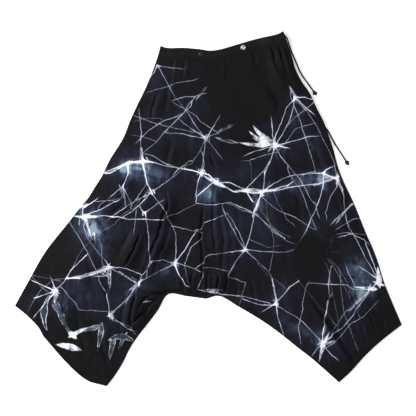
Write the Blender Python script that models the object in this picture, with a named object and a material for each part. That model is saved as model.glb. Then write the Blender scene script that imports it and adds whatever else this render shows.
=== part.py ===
"""Low-crotch harem pants lying flat on their back panels, front side up.

Run with: blender --background --python part.py

+X runs to the wearer's left side seam, +Y to the waist and +Z up from the surface that the cloth
lies on. The origin is on that surface, under the middle of the garment. Sizes named _MM and all
the tables are millimetres; functions return metres.
"""

import math
from dataclasses import dataclass

import bmesh
import bpy
from mathutils import Vector
from mathutils.geometry import intersect_point_line

MM = 0.001

# Cloth
WALL = 1.5 * MM
HEM_WALL = 2.2 * MM
HEM_DEPTH = 0.022
SEAM_GAP = 0.3 * MM
BACK_INSET = 1.0 * MM
AIR_LOFT = 4.0 * MM
LOFT_RUN = 0.09
FOLD_RUN = 0.03

# Waistband: a doubled casing
BAND_WALL = 2.4 * MM
BAND_PUFF = 0.5 * MM
BAND_HEIGHT_MM = 27.0
FRONT_BAND_SEAT = BAND_WALL + BAND_PUFF + SEAM_GAP

# Drawcord
CORD_DIAMETER = 4.6 * MM
CORD_ON_FLOOR_MM = 2.35
CORD_POINT_STEP = 8.0 * MM
KNOT_LENGTH = 15.0 * MM
KNOT_WIDTH = 11.0 * MM

# The cloth passes over the hidden stretch of the cord
CORD_LIFT = CORD_DIAMETER + 0.55 * MM
LIFT_FLAT = 0.034
LIFT_FADE = 0.045

# Ring snaps
SNAP_RADIUS = 7.0 * MM
SNAP_HOLE_RADIUS = 2.0 * MM
SNAP_HEIGHT = 2.2 * MM
SNAP_SEGMENTS = 24

# Grid
STEPS_PER_SECTION = 2
FRONT_COLUMNS = 26
BACK_COLUMNS = 8


@dataclass(frozen=True)
class WaistStation:
    """A place along the waistband: its top edge, and how far its lower edge leans sideways."""

    x: float
    top: float
    lean: float


@dataclass(frozen=True)
class HipSection:
    """A cut across both halves above the crotch: right-hand seams are at higher x."""

    left_x: float
    left_y: float
    centre_x: float
    centre_y: float
    right_x: float
    right_y: float


@dataclass(frozen=True)
class LegSection:
    """A cut across one leg below the crotch, from its side seam to its inseam."""

    side_x: float
    side_y: float
    inner_x: float
    inner_y: float


@dataclass(frozen=True)
class HemStation:
    """How far the hem stands out past a straight line, at a share of the way to the inseam."""

    along: float
    out: float


@dataclass(frozen=True)
class RoutePoint:
    """A point that a cord's centreline passes through, on the surface unless z is given."""

    x: float
    y: float
    z: float = CORD_ON_FLOOR_MM


@dataclass(frozen=True)
class Fold:
    """A soft ridge of the front cloth between two points, highest at its middle."""

    from_x: float
    from_y: float
    to_x: float
    to_y: float
    height: float
    half_width: float


WAIST = (
    WaistStation(x=-146, top=496, lean=-7),
    WaistStation(x=-123, top=489.5, lean=-6),
    WaistStation(x=-75, top=490, lean=-4),
    WaistStation(x=-27, top=486, lean=-2),
    WaistStation(x=5, top=481.5, lean=-1),
    WaistStation(x=40, top=486.5, lean=0),
    WaistStation(x=97, top=503, lean=3),
    WaistStation(x=150, top=518, lean=5),
    WaistStation(x=206, top=530, lean=8),
    WaistStation(x=229, top=541, lean=9),
)
CENTRE_STATION = 5

# The first row is worked out from the waistband's lower edge, so it isn't listed.
HIP = (
    HipSection(-170, 420, 29, 400, 253, 470),
    HipSection(-193, 365, 23, 335, 266, 425),
    HipSection(-217, 316, 16, 260, 285, 387),
    HipSection(-238, 270, 9, 180, 310, 350),
    HipSection(-258, 219, -1, 100, 332, 303),
    HipSection(-280, 182, -15, 20, 352, 264),
    HipSection(-303, 145, -19, -60, 366, 225),
    HipSection(-324, 101, -13, -140, 382, 178),
    HipSection(-346, 66, -9, -215, 396, 126),
    HipSection(-363, 38, -7, -275, 413, 82),
)
LEFT_LEG = (
    LegSection(-379, 18, -66, -267),
    LegSection(-396, -2, -122, -261),
    LegSection(-426, -41, -153, -309),
    LegSection(-461, -84, -186, -353),
    LegSection(-492, -124, -213, -387),
    LegSection(-518, -165, -240, -428),
    LegSection(-543, -211, -260, -469),
    LegSection(-568, -256, -285, -509),
    LegSection(-590, -296, -310, -541),
)
RIGHT_LEG = (
    LegSection(432, 42, 35, -267),
    LegSection(450, 2, 92, -299),
    LegSection(468, -43, 140, -327),
    LegSection(485, -84, 186, -357),
    LegSection(502, -122, 229, -389),
    LegSection(518, -165, 270, -422),
    LegSection(535, -221, 314, -456),
    LegSection(557, -276, 358, -494),
    LegSection(590, -354, 398, -530),
)
LEFT_HEM = (
    HemStation(0.0, 0),
    HemStation(0.12, -2),
    HemStation(0.26, 2),
    HemStation(0.34, 13),
    HemStation(0.64, 27),
    HemStation(0.85, 26),
    HemStation(1.0, 0),
)
RIGHT_HEM = (
    HemStation(0.0, 0),
    HemStation(0.3, -6),
    HemStation(0.55, -6),
    HemStation(0.8, 0),
    HemStation(1.0, 0),
)
HEM_FADE_SECTIONS = 1.5
WAIST_FADE_SECTIONS = 1.5

FRONT_FOLDS = (
    Fold(-134, 352, -176, 262, height=5, half_width=20),
    Fold(-118, 60, -132, -60, height=6, half_width=22),
    Fold(-196, -50, -252, -180, height=9, half_width=24),
    Fold(-142, -80, -196, -236, height=11, half_width=26),
    Fold(-236, -262, -206, -372, height=9, half_width=22),
    Fold(-206, -236, -128, -240, height=10, half_width=20),
    Fold(-428, -225, -424, -380, height=6, half_width=28),
    Fold(-330, -40, -400, -300, height=4, half_width=40),
    Fold(24, 90, 30, -130, height=5, half_width=26),
    Fold(62, -60, 78, -200, height=5, half_width=26),
    Fold(34, -185, 38, -248, height=8, half_width=20),
    Fold(190, 450, 236, 360, height=6, half_width=20),
    Fold(222, 500, 282, 350, height=5, half_width=18),
    Fold(330, -300, 446, -470, height=6, half_width=30),
    Fold(150, 120, 250, -160, height=4, half_width=44),
    Fold(380, 60, 470, -200, height=4, half_width=40),
)

CORD_UPPER_ROUTE = (
    RoutePoint(239.7, 519.2, z=9.6),
    RoutePoint(241.3, 514, z=9.2),
    RoutePoint(243.6, 507, z=7.4),
    RoutePoint(247.7, 495, z=4.8),
    RoutePoint(251.5, 484, z=3.0),
    RoutePoint(255, 474.5),
    RoutePoint(265.5, 450),
    RoutePoint(278, 421),
    RoutePoint(288, 403),
    RoutePoint(303, 382),
    RoutePoint(319.6, 358.8),
)
CORD_LOWER_ROUTE = (
    RoutePoint(224, 520),
    RoutePoint(231, 498),
    RoutePoint(239, 468),
    RoutePoint(247, 440),
    RoutePoint(261, 405),
    RoutePoint(284, 365),
    RoutePoint(302, 330),
    RoutePoint(321, 295),
    RoutePoint(341, 265),
    RoutePoint(361, 242),
    RoutePoint(373.2, 221),
    RoutePoint(389, 192),
    RoutePoint(404.5, 168),
    RoutePoint(418.6, 146),
)
HIDDEN_POINTS = 10

SNAP_PLACES = {"snap_left": -22.0, "snap_right": 104.0}
SNAP_ALONG_BAND = 0.48

COTTON_COLOUR = (0.013, 0.014, 0.018, 1.0)
BAND_COLOUR = (0.009, 0.009, 0.010, 1.0)
CORD_COLOUR = (0.012, 0.010, 0.009, 1.0)
NICKEL_COLOUR = (0.62, 0.62, 0.63, 1.0)
GUNMETAL_COLOUR = (0.08, 0.075, 0.085, 1.0)


def smooth(share: float) -> float:
    """Return a soft step from 0 to 1 as share goes from 0 to 1."""
    share = min(1.0, max(0.0, share))
    return share * share * (3.0 - 2.0 * share)


def spline_point(points: list[Vector], at: float) -> Vector:
    """Return the point at this row number on a smooth curve through the points.

    Args:
        points: What the curve passes through, one at each whole number.
        at: A row number, with a fraction.
    """
    last = len(points) - 1
    row = min(int(at), last - 1)
    share = at - row
    before = points[row - 1] if row else points[0] * 2 - points[1]
    after = points[row + 2] if row + 2 <= last else points[last] * 2 - points[last - 1]
    start, end = points[row], points[row + 1]
    return 0.5 * (
        2 * start
        + (end - before) * share
        + (2 * before - 5 * start + 4 * end - after) * share**2
        + (3 * start - before - 3 * end + after) * share**3
    )


def waist_top(at: float) -> Vector:
    """Return the waistband's top edge at this station number, in metres."""
    return spline_point([Vector((s.x, s.top, 0)) for s in WAIST], at) * MM


def waist_seam(at: float) -> Vector:
    """Return the waistband's lower edge at this station number, in metres."""
    low = [Vector((s.x + s.lean, s.top - BAND_HEIGHT_MM, 0)) for s in WAIST]
    return spline_point(low, at) * MM


def cord_curve(route: tuple[RoutePoint, ...]) -> list[Vector]:
    """Return evenly spaced points on a smooth curve through the route, in metres."""
    knots = [Vector((point.x, point.y, point.z)) * MM for point in route]
    fine = [spline_point(knots, i / 20) for i in range(20 * (len(knots) - 1) + 1)]
    length = sum((b - a).length for a, b in zip(fine, fine[1:]))
    count = round(length / CORD_POINT_STEP)
    spaced, walked, target = [fine[0]], 0.0, length / count
    for start, end in zip(fine, fine[1:]):
        step = (end - start).length
        while walked + step >= target and len(spaced) < count:
            spaced.append(start.lerp(end, (target - walked) / step))
            target += length / count
        walked += step
    return spaced + [fine[-1]]


HIDDEN_CORD = [Vector((point.x, point.y)) * MM for point in CORD_LOWER_ROUTE[:HIDDEN_POINTS]]


def cord_lift(x: float, y: float) -> float:
    """Return how far the cloth is held up at this place by the cord that passes under it."""
    place = Vector((x, y))
    nearest = math.inf
    for start, end in zip(HIDDEN_CORD, HIDDEN_CORD[1:]):
        on_line, share = intersect_point_line(place, start, end)
        on_line = start if share < 0 else end if share > 1 else on_line
        nearest = min(nearest, (place - on_line.to_2d()).length)
    return CORD_LIFT * smooth(1 - (nearest - LIFT_FLAT) / LIFT_FADE)


def fold_height(fold: Fold, x: float, y: float) -> float:
    """Return this fold's height over the cloth at a place in metres."""
    start = Vector((fold.from_x, fold.from_y)) * MM
    end = Vector((fold.to_x, fold.to_y)) * MM
    place = Vector((x, y))
    line = end - start
    share = (place - start).dot(line) / line.length_squared
    across = abs((place - start).cross(line)) / line.length
    along = math.sin(math.pi * min(1.0, max(0.0, share))) ** 0.7
    return fold.height * MM * along * math.exp(-((across / (fold.half_width * MM)) ** 2))


@dataclass(frozen=True)
class Panel:
    """One half of the front or back, as sections from the waist seam to the hem.

    Attributes:
        side: The side seam's points, a section each, in metres.
        inner: The centre seam's and then the inseam's points, a section each.
        corner: The section at the crotch, where the inner edge turns.
        waist: The station numbers of the side seam and the centre seam.
        hem: How the hem stands out past a straight line.
    """

    side: list[Vector]
    inner: list[Vector]
    corner: int
    waist: tuple[float, float]
    hem: tuple[HemStation, ...]

    @property
    def sections(self) -> int:
        """The number of the last section, the hem's."""
        return len(self.side) - 1

    def edge_points(self, row: float) -> tuple[Vector, Vector]:
        """Return where the section meets the side seam and the inner edge."""
        side = spline_point(self.side, row)
        if row <= self.corner:
            return side, spline_point(self.inner[: self.corner + 1], row)
        return side, spline_point(self.inner[self.corner :], row - self.corner)

    def hem_out(self, across: float) -> float:
        """Return how far the hem stands out at this share of its width, in metres."""
        rows = [station.along for station in self.hem]
        index = max(i for i in range(len(rows) - 1) if rows[i] <= across)
        share = (across - rows[index]) / (rows[index + 1] - rows[index])
        outs = [Vector((station.out, 0, 0)) for station in self.hem]
        return spline_point(outs, index + share).x * MM

    def point(self, row: float, across: float) -> Vector:
        """Return a place on the panel, flat, at this section and share across it."""
        side, inner = self.edge_points(row)
        place = side.lerp(inner, across)
        waist_fade = smooth(1 - row / WAIST_FADE_SECTIONS)
        if waist_fade:
            start, end = self.waist
            seam = waist_seam(start + (end - start) * across)
            straight = waist_seam(start).lerp(waist_seam(end), across)
            place += (seam - straight) * waist_fade
        hem_fade = smooth(1 - (self.sections - row) / HEM_FADE_SECTIONS)
        if hem_fade:
            side, inner = self.edge_points(self.sections)
            along = (inner - side).normalized()
            outward = Vector((along.y, -along.x, 0))
            outward *= -1 if outward.y > 0 else 1
            place += outward * self.hem_out(across) * hem_fade
        return place


def make_panel(legs: tuple[LegSection, ...], left: bool) -> Panel:
    """Return the panel of one half, from the hip's and the leg's sections."""
    ends = (0.0, float(CENTRE_STATION)) if left else (len(WAIST) - 1.0, float(CENTRE_STATION))
    if left:
        sides = [Vector((s.left_x, s.left_y, 0)) * MM for s in HIP]
    else:
        sides = [Vector((s.right_x, s.right_y, 0)) * MM for s in HIP]
    centres = [Vector((s.centre_x, s.centre_y, 0)) * MM for s in HIP]
    return Panel(
        side=[waist_seam(ends[0])] + sides + [Vector((s.side_x, s.side_y, 0)) * MM for s in legs],
        inner=[waist_seam(ends[1])] + centres + [Vector((s.inner_x, s.inner_y, 0)) * MM for s in legs],
        corner=len(HIP),
        waist=ends,
        hem=LEFT_HEM if left else RIGHT_HEM,
    )


def shares(columns: int) -> list[float]:
    """Return shares across a panel, closer together at its edges than in its middle."""
    even = [i / columns for i in range(columns + 1)]
    return [0.45 * s + 0.55 * (1 - math.cos(math.pi * s)) / 2 for s in even]


def add_object(name: str, mesh: bpy.types.Mesh, material: bpy.types.Material) -> bpy.types.Object:
    """Link a new object with this mesh and material."""
    mesh.materials.append(material)
    piece = bpy.data.objects.new(name, mesh)
    bpy.context.scene.collection.objects.link(piece)
    return piece


def wall_mesh(name: str, outside: list[list[Vector]], inside: list[list[Vector]]) -> bpy.types.Mesh:
    """Return the closed mesh of a wall between two grids of the same size."""
    shape = bmesh.new()
    rows, columns = len(outside), len(outside[0])
    top = [[shape.verts.new(p) for p in row] for row in outside]
    low = [[shape.verts.new(p) for p in row] for row in inside]
    for i in range(rows - 1):
        for j in range(columns - 1):
            shape.faces.new((top[i][j], top[i + 1][j], top[i + 1][j + 1], top[i][j + 1]))
            shape.faces.new((low[i][j], low[i][j + 1], low[i + 1][j + 1], low[i + 1][j]))
    border = [(i, 0) for i in range(rows)] + [(rows - 1, j) for j in range(1, columns)]
    border += [(i, columns - 1) for i in range(rows - 2, -1, -1)]
    border += [(0, j) for j in range(columns - 2, 0, -1)]
    for (i, j), (k, m) in zip(border, border[1:] + border[:1]):
        shape.faces.new((top[i][j], low[i][j], low[k][m], top[k][m]))
    bmesh.ops.recalc_face_normals(shape, faces=shape.faces)
    mesh = bpy.data.meshes.new(name)
    shape.to_mesh(mesh)
    shape.free()
    return mesh


def wall_at(panel: Panel, row: float) -> float:
    """Return the cloth's thickness here: doubled into a hem at its end."""
    side, _ = panel.edge_points(row)
    end, _ = panel.edge_points(panel.sections)
    return WALL + (HEM_WALL - WALL) * smooth(1 - ((end - side).length - HEM_DEPTH) / HEM_DEPTH)


def inset(panel: Panel, row: float, across: float, by: float) -> Vector:
    """Return the panel's point, held back by this distance from every edge of the panel."""
    width = (panel.point(row, 0.0) - panel.point(row, 1.0)).length
    share = min(1 - by / width, max(by / width, across))
    step = by / (panel.point(0, 0.5) - panel.point(1, 0.5)).length
    return panel.point(min(panel.sections - step, max(step, row)), share)


def front_underside(panel: Panel, row: float, across: float, place: Vector) -> float:
    """Return the height of the front cloth's underside at this place.

    It lies on the back panel at its free edges, meets the waistband's lower edge at half the
    band's thickness, and stands off the back cloth in between, with the folds on top of that.
    """
    on_back = wall_at(panel, row) + SEAM_GAP
    at_band = FRONT_BAND_SEAT + (BAND_WALL - WALL) / 2
    seat = on_back + (at_band - on_back) * smooth(1 - row / WAIST_FADE_SECTIONS)
    edge = edge_distance(panel, row, across)
    folds = sum(fold_height(fold, place.x, place.y) for fold in FRONT_FOLDS)
    loft = AIR_LOFT * smooth(edge / LOFT_RUN) + folds * smooth(edge / FOLD_RUN)
    return seat + cord_lift(place.x, place.y) + loft


def edge_distance(panel: Panel, row: float, across: float) -> float:
    """Return how far this place is from the side seam, the inner edge below the crotch or the hem."""
    side, inner = panel.edge_points(row)
    place = panel.point(row, across)
    hem_side, hem_inner = panel.edge_points(panel.sections)
    to_hem = intersect_point_line(place, hem_side, hem_inner)[0]
    reach = [(place - side).length, (place - to_hem).length]
    lowest = panel.inner[panel.corner]
    if row > panel.corner:
        reach.append((place - inner).length)
    else:
        reach.append((place - lowest).length)
    return min(reach)


def make_front(name: str, panel: Panel, gap_side: float, material: bpy.types.Material) -> None:
    """Build a front panel: a thin wall over the back panel, raised in folds.

    Args:
        name: The piece's name.
        panel: Its half of the pattern.
        gap_side: How far its centre edge is moved over, so that the two halves don't touch.
        material: Its cloth.
    """
    rows = panel.sections * STEPS_PER_SECTION
    top, low = [], []
    for i in range(rows + 1):
        row = i / STEPS_PER_SECTION
        top_row, low_row = [], []
        for across in shares(FRONT_COLUMNS):
            place = panel.point(max(row, 0.006), across)
            place.x += gap_side * smooth((across - 0.9) / 0.1)
            under = front_underside(panel, row, across, place)
            low_row.append(Vector((place.x, place.y, under)))
            top_row.append(Vector((place.x, place.y, under + wall_at(panel, row))))
        top.append(top_row)
        low.append(low_row)
    add_object(name, wall_mesh(name, top, low), material)


def make_back(name: str, panel: Panel, gap_side: float, material: bpy.types.Material) -> None:
    """Build a back panel: a flat wall on the surface, lifted where the cord passes under it."""
    rows = panel.sections * STEPS_PER_SECTION
    top, low = [], []
    for i in range(rows + 1):
        row = i / STEPS_PER_SECTION
        top_row, low_row = [], []
        for across in shares(BACK_COLUMNS):
            place = inset(panel, row, across, BACK_INSET)
            place.x += gap_side * smooth((across - 0.9) / 0.1)
            lift = cord_lift(place.x, place.y)
            low_row.append(Vector((place.x, place.y, lift)))
            top_row.append(Vector((place.x, place.y, lift + wall_at(panel, row))))
        top.append(top_row)
        low.append(low_row)
    add_object(name, wall_mesh(name, top, low), material)


def band_place(at: float, up: float) -> Vector:
    """Return a place on the waistband, flat, at this station and share of its height."""
    return waist_seam(at).lerp(waist_top(at), up)


def band_underside(at: float, up: float, layer: int) -> float:
    """Return the height of a waistband's underside; layer 0 is the back one, 1 the front one."""
    place = band_place(at, up)
    return cord_lift(place.x, place.y) + layer * FRONT_BAND_SEAT


def band_stations(columns: int) -> list[float]:
    """Return stations along the waistband that line up with the columns of both panels."""
    last = len(WAIST) - 1
    left = [CENTRE_STATION * share for share in shares(columns)]
    right = [last + (CENTRE_STATION - last) * share for share in shares(columns)]
    return left + right[-2::-1]


def make_band(name: str, layer: int, columns: int, material: bpy.types.Material) -> None:
    """Build the front or back waistband: a doubled casing, fuller along its middle."""
    inset_share = 0.0 if layer else BACK_INSET / (BAND_HEIGHT_MM * MM)
    heights = (0.012, 0.25, 0.5, 0.75, 1.0 - inset_share)
    top, low = [], []
    for at in band_stations(columns):
        top_row, low_row = [], []
        for up in heights:
            place = band_place(at, up)
            under = band_underside(at, up, layer)
            puff = BAND_PUFF * math.sin(math.pi * up)
            low_row.append(Vector((place.x, place.y, under)))
            top_row.append(Vector((place.x, place.y, under + BAND_WALL + puff)))
        top.append(top_row)
        low.append(low_row)
    add_object(name, wall_mesh(name, top, low), material)


def make_cord(name: str, route: tuple[RoutePoint, ...], material: bpy.types.Material) -> None:
    """Build one free end of the drawcord as a bevelled curve."""
    curve = bpy.data.curves.new(name, "CURVE")
    curve.dimensions = "3D"
    points = cord_curve(route)
    spline = curve.splines.new("POLY")
    spline.points.add(len(points) - 1)
    for slot, place in zip(spline.points, points):
        slot.co = (*place, 1.0)
    curve.bevel_depth = CORD_DIAMETER / 2
    curve.bevel_resolution = 2
    curve.use_fill_caps = True
    curve.materials.append(material)
    bpy.context.scene.collection.objects.link(bpy.data.objects.new(name, curve))


def make_knot(name: str, route: tuple[RoutePoint, ...], material: bpy.types.Material) -> None:
    """Build the knot past the end of a cord: an egg shape with a groove between its two turns."""
    end, before = cord_curve(route)[-1], cord_curve(route)[-2]
    along = (end - before).normalized()
    shape = bmesh.new()
    bmesh.ops.create_uvsphere(shape, u_segments=16, v_segments=12, radius=1.0)
    for vert in shape.verts:
        reach = vert.co.z
        waist = 1.0 - 0.16 * math.exp(-((reach / 0.22) ** 2))
        vert.co = Vector(
            (
                vert.co.x * KNOT_WIDTH / 2 * waist,
                vert.co.y * KNOT_WIDTH / 2 * waist * 0.86,
                reach * KNOT_LENGTH / 2,
            )
        )
    turn = Vector((0, 0, 1)).rotation_difference(along)
    centre = end + along * (KNOT_LENGTH / 2 + SEAM_GAP)
    low = min((turn @ v.co).z for v in shape.verts)
    for vert in shape.verts:
        vert.co = turn @ vert.co + Vector((centre.x, centre.y, SEAM_GAP / 3 - low))
    mesh = bpy.data.meshes.new(name)
    shape.to_mesh(mesh)
    shape.free()
    mesh.shade_smooth()
    add_object(name, mesh, material)


def make_snap(name: str, x_mm: float, material: bpy.types.Material) -> None:
    """Build a ring snap on the front waistband: a turned cap with a small well in its middle."""
    at = snap_station(x_mm)
    place = band_place(at, SNAP_ALONG_BAND)
    seat = band_underside(at, SNAP_ALONG_BAND, 1) + BAND_WALL + BAND_PUFF + SEAM_GAP
    well = SNAP_HEIGHT * 0.35
    profile = (
        (0.0, 0.0),
        (SNAP_RADIUS, 0.0),
        (SNAP_RADIUS, SNAP_HEIGHT * 0.35),
        (SNAP_RADIUS * 0.86, SNAP_HEIGHT * 0.85),
        (SNAP_RADIUS * 0.62, SNAP_HEIGHT),
        (SNAP_HOLE_RADIUS * 1.35, SNAP_HEIGHT * 0.9),
        (SNAP_HOLE_RADIUS, well),
        (0.0, well),
    )
    shape = bmesh.new()
    path = [shape.verts.new((place.x + r, place.y, seat + z)) for r, z in profile]
    edges = [shape.edges.new(pair) for pair in zip(path, path[1:])]
    bmesh.ops.spin(
        shape,
        geom=path + edges,
        cent=(place.x, place.y, seat),
        axis=(0, 0, 1),
        angle=math.tau,
        steps=SNAP_SEGMENTS,
        use_merge=True,
    )
    bmesh.ops.remove_doubles(shape, verts=shape.verts, dist=0.01 * MM)
    bmesh.ops.recalc_face_normals(shape, faces=shape.faces)
    mesh = bpy.data.meshes.new(name)
    shape.to_mesh(mesh)
    shape.free()
    mesh.shade_smooth()
    mesh.set_sharp_from_angle(angle=math.radians(40))
    add_object(name, mesh, material)


def snap_station(x_mm: float) -> float:
    """Return the station number whose x is this many millimetres."""
    index = max(i for i in range(len(WAIST) - 1) if WAIST[i].x <= x_mm)
    return index + (x_mm - WAIST[index].x) / (WAIST[index + 1].x - WAIST[index].x)


def make_material(name: str, colour: tuple, roughness: float, metallic: float = 0.0) -> bpy.types.Material:
    """Return a plain Principled material."""
    material = bpy.data.materials.new(name)
    material.use_nodes = True
    shader = material.node_tree.nodes["Principled BSDF"]
    shader.inputs["Base Color"].default_value = colour
    shader.inputs["Roughness"].default_value = roughness
    shader.inputs["Metallic"].default_value = metallic
    return material


def main() -> None:
    """Clear the scene and build the garment."""
    for old in list(bpy.data.objects):
        bpy.data.objects.remove(old)
    cotton = make_material("dyed_cotton", COTTON_COLOUR, 0.85)
    band = make_material("band_cotton", BAND_COLOUR, 0.88)
    cord = make_material("cord_cotton", CORD_COLOUR, 0.8)
    metals = {
        "snap_left": make_material("gunmetal", GUNMETAL_COLOUR, 0.45, 1.0),
        "snap_right": make_material("nickel", NICKEL_COLOUR, 0.28, 1.0),
    }
    halves = {"left": make_panel(LEFT_LEG, True), "right": make_panel(RIGHT_LEG, False)}
    for half, panel in halves.items():
        shift = SEAM_GAP / 2 if half == "right" else -SEAM_GAP / 2
        make_back(f"back_{half}", panel, shift, cotton)
        make_front(f"front_{half}", panel, shift, cotton)
    make_band("waistband_back", 0, BACK_COLUMNS, band)
    make_band("waistband_front", 1, FRONT_COLUMNS, band)
    for end, route in (("upper", CORD_UPPER_ROUTE), ("lower", CORD_LOWER_ROUTE)):
        make_cord(f"drawcord_{end}", route, cord)
        make_knot(f"knot_{end}", route, cord)
    for name, x_mm in SNAP_PLACES.items():
        make_snap(name, x_mm, metals[name])


main()
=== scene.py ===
"""Low-crotch harem pants of crackle-dyed black cotton, laid flat on their back panels.

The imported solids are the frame. Each cloth piece here is a fine shell on its solid's form, and
the drawcord, its knots, the ring snaps and the sewing are modelled at full detail. Tables and
the sums on them are millimetres; meshes are metres.
"""

import logging
import math
from collections.abc import Sequence
from dataclasses import dataclass, field, replace
from enum import Enum
from functools import cache, partialmethod

import bmesh
import bpy
import numpy as np
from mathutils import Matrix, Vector


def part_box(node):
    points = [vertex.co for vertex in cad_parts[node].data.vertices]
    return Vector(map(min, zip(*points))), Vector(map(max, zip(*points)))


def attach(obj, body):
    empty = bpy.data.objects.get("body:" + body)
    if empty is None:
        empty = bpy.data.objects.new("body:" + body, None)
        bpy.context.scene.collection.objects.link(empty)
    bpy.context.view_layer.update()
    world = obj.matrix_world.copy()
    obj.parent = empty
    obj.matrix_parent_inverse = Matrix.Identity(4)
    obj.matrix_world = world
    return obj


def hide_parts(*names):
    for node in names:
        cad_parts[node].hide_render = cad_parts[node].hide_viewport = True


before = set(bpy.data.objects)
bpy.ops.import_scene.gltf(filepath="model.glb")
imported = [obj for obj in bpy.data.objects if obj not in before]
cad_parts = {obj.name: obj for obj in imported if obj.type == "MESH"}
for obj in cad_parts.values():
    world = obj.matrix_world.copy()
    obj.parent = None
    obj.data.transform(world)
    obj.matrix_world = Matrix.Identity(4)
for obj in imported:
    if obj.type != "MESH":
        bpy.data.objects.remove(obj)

Array = np.ndarray
Material, Mesh, Piece = bpy.types.Material, bpy.types.Mesh, bpy.types.Object
Node, Socket = bpy.types.Node, bpy.types.NodeSocket
Points = tuple[tuple[float, float], ...]
logger = logging.getLogger("harem_pants")
MM = 0.001


def table(kind: type, *rows: tuple) -> tuple:
    """Return one object of this kind for each row of its values."""
    return tuple(kind(*row) for row in rows)


# --- numbers


def smooth(share: Array | float) -> Array:
    """Return a soft step from 0 to 1 as share goes from 0 to 1."""
    share = np.clip(share, 0.0, 1.0)
    return share * share * (3.0 - 2.0 * share)


def bell(across: Array | float, half_width: Array | float) -> Array:
    """Return 1 in the middle, falling softly to nothing past the half width."""
    return np.exp(-((across / half_width) ** 2))


def curve_at(points: Array, at: Array | float) -> Array:
    """Return places on a smooth curve through the points.

    Args:
        points: What the curve passes through, one at each whole number.
        at: Row numbers, with fractions.

    Returns:
        One place for each row number.
    """
    points = np.asarray(points, float)
    at = np.asarray(at, float)
    padded = np.vstack([2 * points[0] - points[1], points, 2 * points[-1] - points[-2]])
    row = np.clip(at.astype(int), 0, len(points) - 2)
    t = (at - row)[..., None]
    a, b, c, d = (padded[row + k] for k in range(4))
    bend = (2 * a - 5 * b + 4 * c - d) * t**2 + (3 * b - a - 3 * c + d) * t**3
    return 0.5 * (2 * b + (c - a) * t + bend)


def norm(steps: Array) -> Array:
    """Return the length of each step."""
    return np.linalg.norm(steps, axis=-1)


def walked(path: Array) -> Array:
    """Return how far each point is along the path."""
    return np.concatenate([[0.0], np.cumsum(norm(np.diff(path, axis=0)))])


def evenly(path: Array, pitch: float) -> Array:
    """Return the path again, with its points this far apart."""
    far = walked(path)
    places = np.linspace(0.0, far[-1], max(2, round(far[-1] / pitch) + 1))
    return np.stack([np.interp(places, far, path[:, k]) for k in range(path.shape[1])], axis=1)


def foot_on(path: Array, points: Array) -> tuple[Array, Array, Array]:
    """Find the nearest place on a path for each point.

    Args:
        path: Corners of the path, flat.
        points: Places, flat.

    Returns:
        The step from each point to the path, the corner before that place with its fraction,
        and the side of the path that the point is on.
    """
    start, run = path[:-1], np.diff(path, axis=0)
    from_start = points[:, None, :] - start[None]
    share = np.clip((from_start * run).sum(-1) / (run * run).sum(-1).clip(1e-9), 0.0, 1.0)
    step = share[..., None] * run - from_start
    nearest = (step**2).sum(-1).argmin(axis=1)
    pick = np.arange(len(points)), nearest
    side = run[nearest, 0] * from_start[pick][:, 1] - run[nearest, 1] * from_start[pick][:, 0]
    return step[pick], nearest + share[pick], np.sign(side)


def close_to(path: Array, points: Array, reach: float) -> Array:
    """Return the numbers of the points in the box round a path that reaches this far past it."""
    low, high = path.min(0) - reach, path.max(0) + reach
    return np.flatnonzero(((points > low) & (points < high)).all(axis=1))


STRETCH = 12


def gap_to(path: Array, points: Array, reach: float) -> Array:
    """Return each point's distance to the path, or reach where it is farther than that."""
    flat = points.reshape(-1, 2)
    gap = np.full(len(flat), reach)
    for i in range(0, len(path) - 1, STRETCH):
        part = path[i : i + STRETCH + 1]
        close = close_to(part, flat, reach)
        if close.size:
            step, _, _ = foot_on(part, flat[close])
            gap[close] = np.minimum(gap[close], norm(step))
    return gap.reshape(points.shape[:-1])


@dataclass(frozen=True)
class Undulation:
    """Unevenness of cloth at rest: many long low waves in seeded directions.

    Attributes:
        seed: Which set of waves.
        shortest: The shortest wavelength.
        longest: The longest wavelength.
        height: How far it departs from level.
        count: How many waves are added up.
    """

    seed: int
    shortest: float
    longest: float
    height: float
    count: int = 22

    def at(self, x: Array, y: Array) -> Array:
        """Return the height of the waves at these places."""
        rng = np.random.default_rng(self.seed)
        total = np.zeros_like(x)
        for _ in range(self.count):
            length = self.shortest * (self.longest / self.shortest) ** rng.uniform()
            turn, phase = rng.uniform(0, math.tau, 2)
            wave = (x * math.cos(turn) + y * math.sin(turn)) * math.tau / length + phase
            total += np.sin(wave) * length / self.longest
        return total * self.height / math.sqrt(self.count)


# --- the cut


@dataclass(frozen=True)
class WaistStation:
    """A place along the waistband: its top edge, and how far its lower edge leans sideways."""

    x: float
    top: float
    lean: float


@dataclass(frozen=True)
class HipSection:
    """A cut across both halves above the crotch."""

    left_x: float
    left_y: float
    centre_x: float
    centre_y: float
    right_x: float
    right_y: float


@dataclass(frozen=True)
class LegSection:
    """A cut across one leg below the crotch, from its side seam to its inseam."""

    side_x: float
    side_y: float
    inner_x: float
    inner_y: float


@dataclass(frozen=True)
class HemStation:
    """How far the hem stands out past a straight line, at a share of the way to the inseam."""

    along: float
    out: float


ARCH = 0.7


@dataclass(frozen=True)
class Fold:
    """A soft ridge of the front cloth between two points, highest at its middle."""

    from_x: float
    from_y: float
    to_x: float
    to_y: float
    height: float
    half_width: float

    def at(self, x: Array, y: Array) -> Array:
        """Return its height at these places."""
        run_x, run_y = self.to_x - self.from_x, self.to_y - self.from_y
        length = math.hypot(run_x, run_y)
        off_x, off_y = x - self.from_x, y - self.from_y
        share = np.clip((off_x * run_x + off_y * run_y) / length**2, 0.0, 1.0)
        across = (off_y * run_x - off_x * run_y) / length
        arch = np.clip(np.sin(math.pi * share), 0.0, 1.0) ** ARCH
        return self.height * arch * bell(across, self.half_width)


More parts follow.
